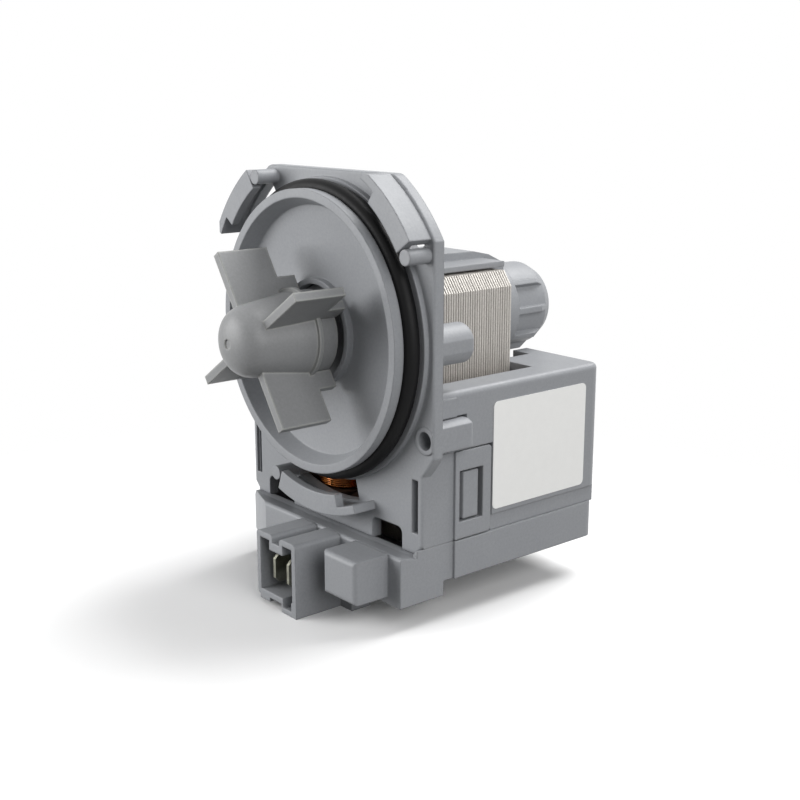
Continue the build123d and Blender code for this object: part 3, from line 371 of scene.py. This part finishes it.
def sheared_electrical_steel(name, main, dull_colour, pitch):
    """Cut edges of silicon steel sheet: a bright sheared band on each sheet, dulled here and there
    by oxide, so the stack looks like fine upright lines of changing brightness."""
    # Drag marks of the punch run through each sheet's thickness; drawn 0.35 mm wide to show
    mark_width = 0.00035
    mark_height = 0.00002
    stain_width = 0.006
    material, tree = new_finish(name)
    place = add_node(tree, "ShaderNodeTexCoord").outputs["Object"]
    split = add_node(tree, "ShaderNodeSeparateXYZ", None, {"Vector": place})
    sheet = add_node(
        tree, "ShaderNodeMath", {"operation": "DIVIDE"}, {0: split.outputs["Y"], 1: pitch}
    )
    number = add_node(tree, "ShaderNodeMath", {"operation": "FLOOR"}, {0: sheet.outputs[0]})
    luck = add_node(
        tree, "ShaderNodeTexWhiteNoise", {"noise_dimensions": "1D"}, {"W": number.outputs[0]}
    )
    marks = add_node(
        tree,
        "ShaderNodeTexNoise",
        None,
        {"Vector": place, "Scale": 1 / mark_width, "Detail": 3.0, "Roughness": 0.65},
    )
    stain = add_node(
        tree,
        "ShaderNodeTexNoise",
        None,
        {"Vector": place, "Scale": 1 / stain_width, "Detail": 3.0, "Roughness": 0.6},
    )
    spread = add_node(
        tree,
        "ShaderNodeMath",
        {"operation": "MULTIPLY_ADD"},
        {0: luck.outputs["Value"], 1: 0.16, 2: marks.outputs[0]},
    )
    amount = add_node(
        tree,
        "ShaderNodeMapRange",
        None,
        {"Value": spread.outputs[0], "From Min": 0.45, "From Max": 1.0},
    )
    tone = add_node(
        tree,
        "ShaderNodeMix",
        {"data_type": "RGBA"},
        {0: amount.outputs[0], 6: main, 7: dull_colour},
    )
    dull = add_node(
        tree,
        "ShaderNodeMapRange",
        None,
        {"Value": stain.outputs[0], **NOISE_SPAN, "To Min": 0.38, "To Max": 0.55},
    )
    relief = add_node(
        tree,
        "ShaderNodeBump",
        None,
        {"Height": marks.outputs[0], "Distance": mark_height, "Strength": 0.5},
    )
    shader = add_node(
        tree,
        "ShaderNodeBsdfPrincipled",
        None,
        {
            "Base Color": tone.outputs[2],
            "Metallic": 0.35,
            "Roughness": dull.outputs[0],
            "Normal": relief.outputs[0],
        },
    )
    end_finish(tree, shader)
    return material


def drawn_metal(name, main, roughness, streak, coat=0.0):
    """Drawn, rolled or ground metal with streaks of the given width, bare or under enamel."""
    material, tree = new_finish(name)
    place = add_node(tree, "ShaderNodeTexCoord").outputs["Object"]
    streaks = add_node(
        tree,
        "ShaderNodeTexNoise",
        None,
        {"Vector": place, "Scale": 1 / streak, "Detail": 2.0, "Roughness": 0.5},
    )
    strength = add_node(
        tree,
        "ShaderNodeMapRange",
        None,
        {"Value": streaks.outputs[0], **NOISE_SPAN, "To Min": 0.8, "To Max": 1.1},
    )
    tone = add_node(
        tree,
        "ShaderNodeMix",
        {"data_type": "RGBA", "blend_type": "MULTIPLY"},
        {0: 1.0, 6: main, 7: strength.outputs[0]},
    )
    dull = add_node(
        tree,
        "ShaderNodeMapRange",
        None,
        {
            "Value": streaks.outputs[0],
            **NOISE_SPAN,
            "To Min": roughness - 0.06,
            "To Max": roughness + 0.06,
        },
    )
    shader = add_node(
        tree,
        "ShaderNodeBsdfPrincipled",
        None,
        {
            "Base Color": tone.outputs[2],
            "Metallic": 1.0,
            "Roughness": dull.outputs[0],
            "Coat Weight": coat,
            "Coat Roughness": 0.15,
            "Coat IOR": 1.6,
        },
    )
    end_finish(tree, shader)
    return material


def coated_label_paper(name, main):
    """Gloss-coated white label paper, IOR 1.5: even and bright, with the faintest fibre cloud."""
    fibre_width = 0.002
    fibre_height = 0.00001
    material, tree = new_finish(name)
    place = add_node(tree, "ShaderNodeTexCoord").outputs["Object"]
    fibre = add_node(
        tree,
        "ShaderNodeTexNoise",
        None,
        {"Vector": place, "Scale": 1 / fibre_width, "Detail": 4.0, "Roughness": 0.7},
    )
    strength = add_node(
        tree,
        "ShaderNodeMapRange",
        None,
        {"Value": fibre.outputs[0], **NOISE_SPAN, "To Min": 0.975, "To Max": 1.0},
    )
    tone = add_node(
        tree,
        "ShaderNodeMix",
        {"data_type": "RGBA", "blend_type": "MULTIPLY"},
        {0: 1.0, 6: main, 7: strength.outputs[0]},
    )
    relief = add_node(
        tree,
        "ShaderNodeBump",
        None,
        {"Height": fibre.outputs[0], "Distance": fibre_height, "Strength": 0.3},
    )
    shader = add_node(
        tree,
        "ShaderNodeBsdfPrincipled",
        None,
        {
            "Base Color": tone.outputs[2],
            "Roughness": 0.38,
            "IOR": 1.5,
            "Normal": relief.outputs[0],
        },
    )
    end_finish(tree, shader)
    return material


def give_finish(node_names, material):
    """Put one material on all of a CAD node's slots."""
    for name in node_names:
        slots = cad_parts[name].material_slots
        if not slots:
            raise RuntimeError(f"{name} has no material slot")
        for slot in slots:
            slot.material = material


def new_tree(name, inputs):
    """A Geometry Nodes tree with named inputs, its input node and its output node."""
    tree = bpy.data.node_groups.new(name, "GeometryNodeTree")
    tree.interface.new_socket("Geometry", in_out="OUTPUT", socket_type="NodeSocketGeometry")
    for socket_name, kind in inputs:
        tree.interface.new_socket(socket_name, in_out="INPUT", socket_type=f"NodeSocket{kind}")
    start = tree.nodes.new("NodeGroupInput")
    return tree, start.outputs


def end_tree(tree, geometry, material):
    """Close a tree with Realize Instances and Set Material."""
    real = add_node(tree, "GeometryNodeRealizeInstances", None, {"Geometry": geometry})
    dressed = add_node(
        tree, "GeometryNodeSetMaterial", None, {"Geometry": real.outputs[0], "Material": material}
    )
    add_node(tree, "NodeGroupOutput", None, {0: dressed.outputs[0]})


def made_by_nodes(name, mesh, tree, values):
    """An object whose mesh is what the tree makes of the given mesh and values."""
    piece = bpy.data.objects.new(name, mesh)
    bpy.context.scene.collection.objects.link(piece)
    modifier = piece.modifiers.new("made", "NODES")
    modifier.node_group = tree
    for item in tree.interface.items_tree:
        if item.in_out == "INPUT" and item.name in values:
            modifier[item.identifier] = values[item.name]
    depsgraph = bpy.context.evaluated_depsgraph_get()
    made = bpy.data.meshes.new_from_object(piece.evaluated_get(depsgraph), depsgraph=depsgraph)
    piece.modifiers.clear()
    piece.data = made
    made.name = name
    if not made.polygons:
        raise RuntimeError(f"{name} came out empty")
    return piece


def sheet_mesh(name, outline, front, thickness, rounding):
    """One punched sheet: the outline, in X and Z, through the thickness, with rounded edges."""
    # A sharper corner is rounded as if it were this sharp, so that its inner point stays near
    sharpest = 0.35
    count = len(outline)
    inner = []
    for i, point in enumerate(outline):
        before, after = outline[i - 1], outline[(i + 1) % count]
        along = (point - before).normalized()
        onward = (after - point).normalized()
        bisector = Vector((-along.y - onward.y, along.x + onward.x)).normalized()
        lean = max(sharpest, abs(bisector.x * -along.y + bisector.y * along.x))
        inner.append(point + bisector * (rounding / lean))
    builder = bmesh.new()
    rings = []
    for points, depth in (
        (inner, 0),
        (outline, rounding),
        (outline, thickness - rounding),
        (inner, thickness),
    ):
        rings.append([builder.verts.new((p.x, front + depth, p.y)) for p in points])
    for low, high in zip(rings, rings[1:]):
        for i in range(count):
            j = (i + 1) % count
            builder.faces.new((low[i], low[j], high[j], high[i]))
    builder.faces.new(list(reversed(rings[0])))
    builder.faces.new(rings[-1])
    bmesh.ops.recalc_face_normals(builder, faces=builder.faces)
    mesh = bpy.data.meshes.new(name)
    builder.to_mesh(mesh)
    builder.free()
    return mesh


def stack_tree():
    """Geometry Nodes: a sheet repeated along Y, each a hair out of line with its neighbours."""
    tree, given = new_tree(
        "stack of sheets",
        (
            ("Sheet", "Geometry"),
            ("Sheets", "Int"),
            ("Pitch", "Float"),
            ("Scatter", "Float"),
            ("Seed", "Int"),
            ("Finish", "Material"),
        ),
    )
    step = add_node(tree, "ShaderNodeCombineXYZ", None, {"Y": given["Pitch"]})
    row = add_node(
        tree,
        "GeometryNodeMeshLine",
        {"mode": "OFFSET"},
        {"Count": given["Sheets"], "Offset": step.outputs[0]},
    )
    back = add_node(
        tree, "ShaderNodeMath", {"operation": "MULTIPLY"}, {0: given["Scatter"], 1: -1.0}
    )
    low = add_node(tree, "ShaderNodeCombineXYZ", None, {"X": back.outputs[0], "Z": back.outputs[0]})
    high = add_node(tree, "ShaderNodeCombineXYZ", None, {"Z": given["Scatter"]})
    drift = add_node(
        tree,
        "FunctionNodeRandomValue",
        {"data_type": "FLOAT_VECTOR"},
        {0: low.outputs[0], 1: high.outputs[0], "Seed": given["Seed"]},
    )
    row = add_node(
        tree,
        "GeometryNodeSetPosition",
        None,
        {"Geometry": row.outputs[0], "Offset": drift.outputs[0]},
    )
    sheets = add_node(
        tree,
        "GeometryNodeInstanceOnPoints",
        None,
        {"Points": row.outputs[0], "Instance": given["Sheet"]},
    )
    end_tree(tree, sheets.outputs[0], given["Finish"])
    return tree


def winding_tree():
    """Geometry Nodes: one wire that climbs round and round a path with rounded corners."""
    tree, given = new_tree(
        "winding",
        (
            ("Core", "Geometry"),
            ("Centre", "Vector"),
            ("Width", "Float"),
            ("Depth", "Float"),
            ("Corner", "Float"),
            ("Wire", "Float"),
            ("Turns", "Int"),
            ("Steps", "Int"),
            ("Finish", "Material"),
        ),
    )
    path = add_node(
        tree,
        "GeometryNodeCurvePrimitiveQuadrilateral",
        {"mode": "RECTANGLE"},
        {"Width": given["Width"], "Height": given["Depth"]},
    )
    path = add_node(
        tree,
        "GeometryNodeFilletCurve",
        {"mode": "POLY"},
        {"Curve": path.outputs[0], "Count": CORNER_STEPS, "Radius": given["Corner"]},
    )
    total = add_node(
        tree, "ShaderNodeMath", {"operation": "MULTIPLY"}, {0: given["Turns"], 1: given["Steps"]}
    )
    # Only the number of points counts here: each gets its place below
    thread = add_node(
        tree, "GeometryNodeMeshLine", {"mode": "OFFSET"}, {"Count": total.outputs[0]}
    )
    index = add_node(tree, "GeometryNodeInputIndex")
    turn = add_node(
        tree, "ShaderNodeMath", {"operation": "DIVIDE"}, {0: index.outputs[0], 1: given["Steps"]}
    )
    share = add_node(tree, "ShaderNodeMath", {"operation": "FRACT"}, {0: turn.outputs[0]})
    spot = add_node(
        tree,
        "GeometryNodeSampleCurve",
        {"mode": "FACTOR", "use_all_curves": True},
        {"Curves": path.outputs[0], "Factor": share.outputs[0]},
    )
    rise = add_node(
        tree, "ShaderNodeMath", {"operation": "MULTIPLY"}, {0: turn.outputs[0], 1: given["Wire"]}
    )
    lift = add_node(tree, "ShaderNodeCombineXYZ", None, {"Z": rise.outputs[0]})
    level = add_node(
        tree, "ShaderNodeVectorMath", {"operation": "ADD"}, {0: given["Centre"], 1: lift.outputs[0]}
    )
    place = add_node(
        tree,
        "ShaderNodeVectorMath",
        {"operation": "ADD"},
        {0: spot.outputs["Position"], 1: level.outputs[0]},
    )
    thread = add_node(
        tree,
        "GeometryNodeSetPosition",
        None,
        {"Geometry": thread.outputs[0], "Position": place.outputs[0]},
    )
    wire = add_node(tree, "GeometryNodeMeshToCurve", None, {0: thread.outputs[0]})
    half = add_node(tree, "ShaderNodeMath", {"operation": "MULTIPLY"}, {0: given["Wire"], 1: 0.5})
    section = add_node(
        tree,
        "GeometryNodeCurvePrimitiveCircle",
        None,
        {"Resolution": WIRE_SIDES, "Radius": half.outputs[0]},
    )
    tube = add_node(
        tree,
        "GeometryNodeCurveToMesh",
        None,
        {"Curve": wire.outputs[0], "Profile Curve": section.outputs[0], "Fill Caps": True},
    )
    whole = tree.nodes.new("GeometryNodeJoinGeometry")
    tree.links.new(given["Core"], whole.inputs[0])
    tree.links.new(tube.outputs[0], whole.inputs[0])
    end_tree(tree, whole.outputs[0], given["Finish"])
    return tree


class PUMP_OT_mouldings(bpy.types.Operator):
    """Finish the grey mouldings of the housing"""

    bl_idname = "pump.mouldings"
    bl_label = "Grey mouldings"

    def execute(self, context):
        colours = context.scene.pump_colours
        housing = moulded_polypropylene(
            "moulded_grey_polypropylene", colours.housing, colours.housing_shade, 0.46
        )
        give_finish(("flange_housing", "coil_housing", "base_tray", "bearing_carrier"), housing)
        return {"FINISHED"}


class PUMP_OT_impeller(bpy.types.Operator):
    """Finish the impeller and its cap"""

    bl_idname = "pump.impeller"
    bl_label = "Impeller"

    def execute(self, context):
        colours = context.scene.pump_colours
        # The edge colour paints a highlight along the blades' thin corners
        thin = moulded_polypropylene(
            "moulded_impeller_polypropylene",
            colours.impeller,
            colours.impeller_shade,
            0.42,
            0.1,
            edge=colours.impeller_edge_highlight,
        )
        give_finish(("impeller", "hub_cap"), thin)
        return {"FINISHED"}


class PUMP_OT_rubber(bpy.types.Operator):
    """Finish the O-ring, the shaft seal and the stop's pads"""

    bl_idname = "pump.rubber"
    bl_label = "Rubber pieces"

    def execute(self, context):
        # Nitrile rubber, moulded and wiped with silicone grease: black with a soft sheen, IOR 1.52
        colours = context.scene.pump_colours
        rubber = plain_moulding(
            "moulded_nitrile_rubber", colours.rubber, 0.5, 1.52, 0.0008, gloss=0.12
        )
        give_finish(("o_ring", "shaft_seal", "stop_pads"), rubber)
        return {"FINISHED"}


class PUMP_OT_stack(bpy.types.Operator):
    """Build the stator's two legs and its yoke sheet by sheet"""

    bl_idname = "pump.stack"
    bl_label = "Stator stack"

    def execute(self, context):
        sizes = context.scene.pump_sizes
        colours = context.scene.pump_colours
        steel = sheared_electrical_steel(
            "sheared_electrical_steel", colours.steel, colours.steel_dark, sizes.sheet_pitch
        )
        tree = stack_tree()
        for seed, node in enumerate(("stator_leg_left", "stator_leg_right", "stator_yoke")):
            low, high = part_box(node)
            if node == "stator_yoke":
                corners = ((low.x, low.z), (high.x, low.z), (high.x, high.z), (low.x, high.z))
                outline = [Vector(corner) for corner in corners]
            else:
                outline = self.leg_outline(sizes, low, high)
            depth = high.y - low.y
            # The small sum keeps a stack that fits exactly from losing a sheet to rounding
            sheets = int(depth / sizes.sheet_pitch + 1e-6)
            thickness = sizes.sheet_pitch - sizes.sheet_gap
            front = low.y + (depth - sheets * sizes.sheet_pitch + sizes.sheet_gap) / 2
            mesh = sheet_mesh(node + "_sheet", outline, front, thickness, sizes.sheet_round)
            piece = made_by_nodes(
                node + "_sheets",
                mesh,
                tree,
                {
                    "Sheets": sheets,
                    "Pitch": sizes.sheet_pitch,
                    "Scatter": sizes.sheet_scatter,
                    "Seed": seed,
                    "Finish": steel,
                },
            )
            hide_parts(node)
            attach(piece, "housing")
        return {"FINISHED"}

    def leg_outline(self, sizes, low, high):
        """Outline of a leg with its pole, drawn for the right one and mirrored for the left."""
        side = 1 if high.x > 0 else -1
        outer = high.x if side > 0 else -low.x
        inner = sizes.pole_half_gap
        leg_inner = outer - sizes.leg_width
        bore = sizes.bore_radius
        start = -math.acos(leg_inner / bore)
        end = math.acos(inner / bore)
        points = [
            (inner, high.z),
            (outer - sizes.shoulder_width, high.z),
            (outer, high.z - sizes.shoulder_height),
            (outer, low.z),
            (leg_inner, low.z),
        ]
        for i in range(BORE_STEPS + 1):
            angle = start + (end - start) * i / BORE_STEPS
            points.append((bore * math.cos(angle), bore * math.sin(angle)))
        if side > 0:
            points = [Vector(p) for p in reversed(points)]
        else:
            points = [Vector((-x, z)) for x, z in points]
        return points


class PUMP_OT_windings(bpy.types.Operator):
    """Wind both coils turn by turn and finish their bobbins"""

    bl_idname = "pump.windings"
    bl_label = "Windings"

    def execute(self, context):
        sizes = context.scene.pump_sizes
        colours = context.scene.pump_colours
        # Glass-filled nylon, IOR 1.53: dark brown and dull
        nylon = plain_moulding("moulded_brown_nylon", colours.bobbin, 0.5, 1.53, 0.0006)
        give_finish(("bobbin_left", "bobbin_right"), nylon)
        # Copper wire under amber enamel: warm, with a sharp line of light along each turn
        copper = drawn_metal("enamelled_copper_wire", colours.copper, 0.3, 0.004, coat=0.5)
        give_finish(("lead_left", "lead_right"), copper)
        tree = winding_tree()
        for side in SIDES:
            node = "coil_" + side
            low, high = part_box(node)
            wire = sizes.wire
            turns = int((high.z - low.z) / wire) - 1
            inset = Vector((wire / 2, wire / 2, wire / 2))
            core = self.core_mesh(node + "_core", sizes, low + inset, high - inset)
            piece = made_by_nodes(
                node + "_turns",
                core,
                tree,
                {
                    "Centre": ((low.x + high.x) / 2, (low.y + high.y) / 2, low.z + wire / 2),
                    "Width": high.x - low.x - wire,
                    "Depth": high.y - low.y - wire,
                    "Corner": sizes.winding_round - wire / 2,
                    "Wire": wire,
                    "Turns": turns,
                    "Steps": sizes.turn_steps,
                    "Finish": copper,
                },
            )
            for polygon in piece.data.polygons:
                polygon.use_smooth = True
            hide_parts(node)
            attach(piece, "housing")
        return {"FINISHED"}

    def core_mesh(self, name, sizes, low, high):
        """The wound block under the outer turns, open where the bobbin's tube goes through."""
        weld = 1e-7
        rounding = sizes.winding_round
        tube = Vector((sizes.tube_half_width, sizes.tube_half_depth))
        middle = ((low + high) / 2).xy
        half = high.xy - middle
        builder = bmesh.new()
        outer, inner = [], []
        for corner, (sx, sy) in enumerate(((1, 1), (-1, 1), (-1, -1), (1, -1))):
            centre = middle + Vector((sx * (half.x - rounding), sy * (half.y - rounding)))
            for i in range(CORNER_STEPS + 1):
                angle = math.pi / 2 * (corner + i / CORNER_STEPS)
                outer.append(centre + rounding * Vector((math.cos(angle), math.sin(angle))))
                inner.append(middle + Vector((sx * tube.x, sy * tube.y)))
        rings = []
        for points, z in ((outer, low.z), (outer, high.z), (inner, high.z), (inner, low.z)):
            rings.append([builder.verts.new((p.x, p.y, z)) for p in points])
        count = len(outer)
        for ring, following in zip(rings, rings[1:] + rings[:1]):
            for i in range(count):
                j = (i + 1) % count
                builder.faces.new((ring[i], ring[j], following[j], following[i]))
        bmesh.ops.remove_doubles(builder, verts=builder.verts, dist=weld)
        bmesh.ops.dissolve_degenerate(builder, edges=builder.edges, dist=weld)
        bmesh.ops.recalc_face_normals(builder, faces=builder.faces)
        mesh = bpy.data.meshes.new(name)
        builder.to_mesh(mesh)
        builder.free()
        return mesh


class PUMP_OT_terminals(bpy.types.Operator):
    """Finish the quick-connect tabs and the thermal cut-out"""

    bl_idname = "pump.terminals"
    bl_label = "Terminals"

    def execute(self, context):
        colours = context.scene.pump_colours
        # Rolled brass, tinned: pale, faintly green where the tin is thin
        tin = drawn_metal("tinned_brass", colours.tin, 0.34, 0.0015)
        give_finish(("terminal_left", "terminal_right", "thermal_cutout"), tin)
        return {"FINISHED"}


class PUMP_OT_rotor(bpy.types.Operator):
    """Finish the shaft, the magnet, the bushes and the drive dog"""

    bl_idname = "pump.rotor"
    bl_label = "Rotor"

    def execute(self, context):
        colours = context.scene.pump_colours
        # Stainless rod, centreless ground: bright, with soft cross streaks
        steel = drawn_metal("ground_stainless_steel", colours.shaft, 0.22, 0.0005)
        give_finish(("shaft",), steel)
        # Sintered ferrite under a thin film of binder, IOR 1.6: a dull black ceramic face
        ferrite = plain_moulding("sintered_ferrite", colours.magnet, 0.62, 1.6, 0.0005)
        give_finish(("magnet",), ferrite)
        # Acetal, moulded: cream, waxy, IOR 1.48
        acetal = plain_moulding("moulded_acetal", colours.bush, 0.4, 1.48, 0.0009)
        give_finish(
            (
                "front_bush",
                "rear_bush",
                "rotor_core",
                "thrust_washer_front",
                "thrust_washer_rear",
                "drive_dog",
            ),
            acetal,
        )
        return {"FINISHED"}


class PUMP_OT_label(bpy.types.Operator):
    """Finish the bare label on the side"""

    bl_idname = "pump.label"
    bl_label = "Bare label"

    def execute(self, context):
        paper = coated_label_paper("coated_label_paper", context.scene.pump_colours.label)
        give_finish(("rating_label",), paper)
        return {"FINISHED"}


class PUMP_OT_stage(bpy.types.Operator):
    """Make the floor, the soft light and the camera"""

    bl_idname = "pump.stage"
    bl_label = "Stage"

    def execute(self, context):
        stage = context.scene.pump_stage
        self.make_floor(context, stage)
        self.make_world(context, stage)
        self.make_softboxes(context, stage)
        self.make_camera(context, stage)
        return {"FINISHED"}

    def make_floor(self, context, stage):
        """A wide pale sheet whose picture fades into the white round the pump."""
        ground = CAD_BOX[0][2]
        builder = bmesh.new()
        for x, y in ((-1, -1), (1, -1), (1, 1), (-1, 1)):
            builder.verts.new((x * FLOOR_HALF, y * FLOOR_HALF, ground))
        builder.faces.new(builder.verts)
        mesh = bpy.data.meshes.new("floor")
        builder.to_mesh(mesh)
        builder.free()
        floor = bpy.data.objects.new("floor", mesh)
        context.scene.collection.objects.link(floor)
        material, tree = new_finish("pale_studio_paper")
        place = add_node(tree, "ShaderNodeTexCoord").outputs["Object"]
        flat = add_node(
            tree, "ShaderNodeVectorMath", {"operation": "MULTIPLY"}, {0: place, 1: (1.0, 1.0, 0.0)}
        )
        distance = add_node(
            tree, "ShaderNodeVectorMath", {"operation": "LENGTH"}, {0: flat.outputs[0]}
        )
        fade = add_node(
            tree,
            "ShaderNodeMapRange",
            {"interpolation_type": "SMOOTHSTEP"},
            {
                "Value": distance.outputs["Value"],
                "From Min": stage.floor_reach * FADE_START_SHARE,
                "From Max": stage.floor_reach,
            },
        )
        seen = self.background_rays(tree)
        clear = add_node(
            tree, "ShaderNodeMath", {"operation": "MULTIPLY"}, {0: fade.outputs[0], 1: seen}
        )
        tone = add_node(
            tree,
            "ShaderNodeMix",
            {"data_type": "RGBA"},
            {0: seen, 6: stage.floor_bounce, 7: stage.floor},
        )
        paper = add_node(tree, "ShaderNodeBsdfDiffuse", None, {"Color": tone.outputs[2]})
        gone = add_node(tree, "ShaderNodeBsdfTransparent")
        shader = add_node(
            tree,
            "ShaderNodeMixShader",
            None,
            {0: clear.outputs[0], 1: paper.outputs[0], 2: gone.outputs[0]},
        )
        end_finish(tree, shader)
        mesh.materials.append(material)

    def background_rays(self, tree):
        """1 for the rays that show the background: camera, gloss and glass."""
        path = add_node(tree, "ShaderNodeLightPath")
        shiny = add_node(
            tree,
            "ShaderNodeMath",
            {"operation": "MAXIMUM"},
            {0: path.outputs["Is Glossy Ray"], 1: path.outputs["Is Transmission Ray"]},
        )
        seen = add_node(
            tree,
            "ShaderNodeMath",
            {"operation": "MAXIMUM"},
            {0: path.outputs["Is Camera Ray"], 1: shiny.outputs[0]},
        )
        return seen.outputs[0]

    def make_world(self, context, stage):
        """Even light from all round, and plain white for the camera, gloss and glass."""
        world = bpy.data.worlds.new("studio")
        world.use_nodes = True
        tree = world.node_tree
        tree.nodes.clear()
        strength = add_node(
            tree,
            "ShaderNodeMapRange",
            None,
            {"Value": self.background_rays(tree), "To Min": stage.sky, "To Max": 1.0},
        )
        light = add_node(
            tree,
            "ShaderNodeBackground",
            None,
            {"Color": (1.0, 1.0, 1.0, 1.0), "Strength": strength.outputs[0]},
        )
        add_node(tree, "ShaderNodeOutputWorld", None, {"Surface": light.outputs[0]})
        context.scene.world = world

    def make_softboxes(self, context, stage):
        """Three square lamps turned towards the pump."""
        for name, power, place in (
            ("overhead_softbox", stage.overhead_power, (0.04, 0.44, 0.64)),
            ("front_softbox", stage.front_power, (-0.42, -0.55, 0.16)),
            ("side_softbox", stage.side_power, (0.60, -0.05, 0.25)),
        ):
            lamp = bpy.data.lights.new(name, "AREA")
            lamp.shape = "SQUARE"
            lamp.size = SOFTBOX_SIZE
            lamp.energy = power
            holder = bpy.data.objects.new(name, lamp)
            holder.location = place
            holder.rotation_euler = (-holder.location).to_track_quat("-Z", "Y").to_euler()
            context.scene.collection.objects.link(holder)

    def make_camera(self, context, stage):
        """A camera that gives the photograph's view."""
        camera = bpy.data.cameras.new("camera")
        camera.sensor_width = SENSOR_WIDTH_MM
        camera.lens = stage.lens
        camera.clip_start = 0.01
        camera.clip_end = 10.0
        holder = bpy.data.objects.new("camera", camera)
        holder.location = CAMERA_PLACE
        holder.rotation_euler = (CAMERA_TARGET - CAMERA_PLACE).to_track_quat("-Z", "Y").to_euler()
        context.scene.collection.objects.link(holder)
        context.scene.camera = holder
        context.scene.view_settings.view_transform = "Standard"


class PUMP_PT_panel(bpy.types.Panel):
    """Sizes, colours and steps of the drain pump"""

    bl_idname = "PUMP_PT_panel"
    bl_label = "Drain pump"
    bl_space_type = "VIEW_3D"
    bl_region_type = "UI"
    bl_category = "Drain pump"

    def draw(self, context):
        scene = context.scene
        for group in (scene.pump_sizes, scene.pump_colours, scene.pump_stage):
            box = self.layout.box()
            for name in group.bl_rna.properties.keys():
                if name not in ("rna_type", "name"):
                    box.prop(group, name)
        for step in STEPS:
            self.layout.operator(step.bl_idname)


STEPS = (
    PUMP_OT_stage,
    PUMP_OT_mouldings,
    PUMP_OT_impeller,
    PUMP_OT_rubber,
    PUMP_OT_stack,
    PUMP_OT_windings,
    PUMP_OT_terminals,
    PUMP_OT_rotor,
    PUMP_OT_label,
)
GROUPS = (PumpColours, PumpSizes, PumpStage)


def register():
    """Add the classes, and the settings to every scene."""
    for cls in GROUPS + STEPS + (PUMP_PT_panel,):
        bpy.utils.register_class(cls)
    bpy.types.Scene.pump_colours = PointerProperty(type=PumpColours)
    bpy.types.Scene.pump_sizes = PointerProperty(type=PumpSizes)
    bpy.types.Scene.pump_stage = PointerProperty(type=PumpStage)


def unregister():
    """Take the settings and the classes away again."""
    for name in ("pump_stage", "pump_sizes", "pump_colours"):
        delattr(bpy.types.Scene, name)
    for cls in reversed(GROUPS + STEPS + (PUMP_PT_panel,)):
        bpy.utils.unregister_class(cls)


def main():
    """Register the add-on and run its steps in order."""
    register()
    bpy.ops.pump.stage()
    bpy.ops.pump.mouldings()
    bpy.ops.pump.impeller()
    bpy.ops.pump.rubber()
    bpy.ops.pump.stack()
    bpy.ops.pump.windings()
    bpy.ops.pump.terminals()
    bpy.ops.pump.rotor()
    bpy.ops.pump.label()
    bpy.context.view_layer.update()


if __name__ == "__main__":
    main()
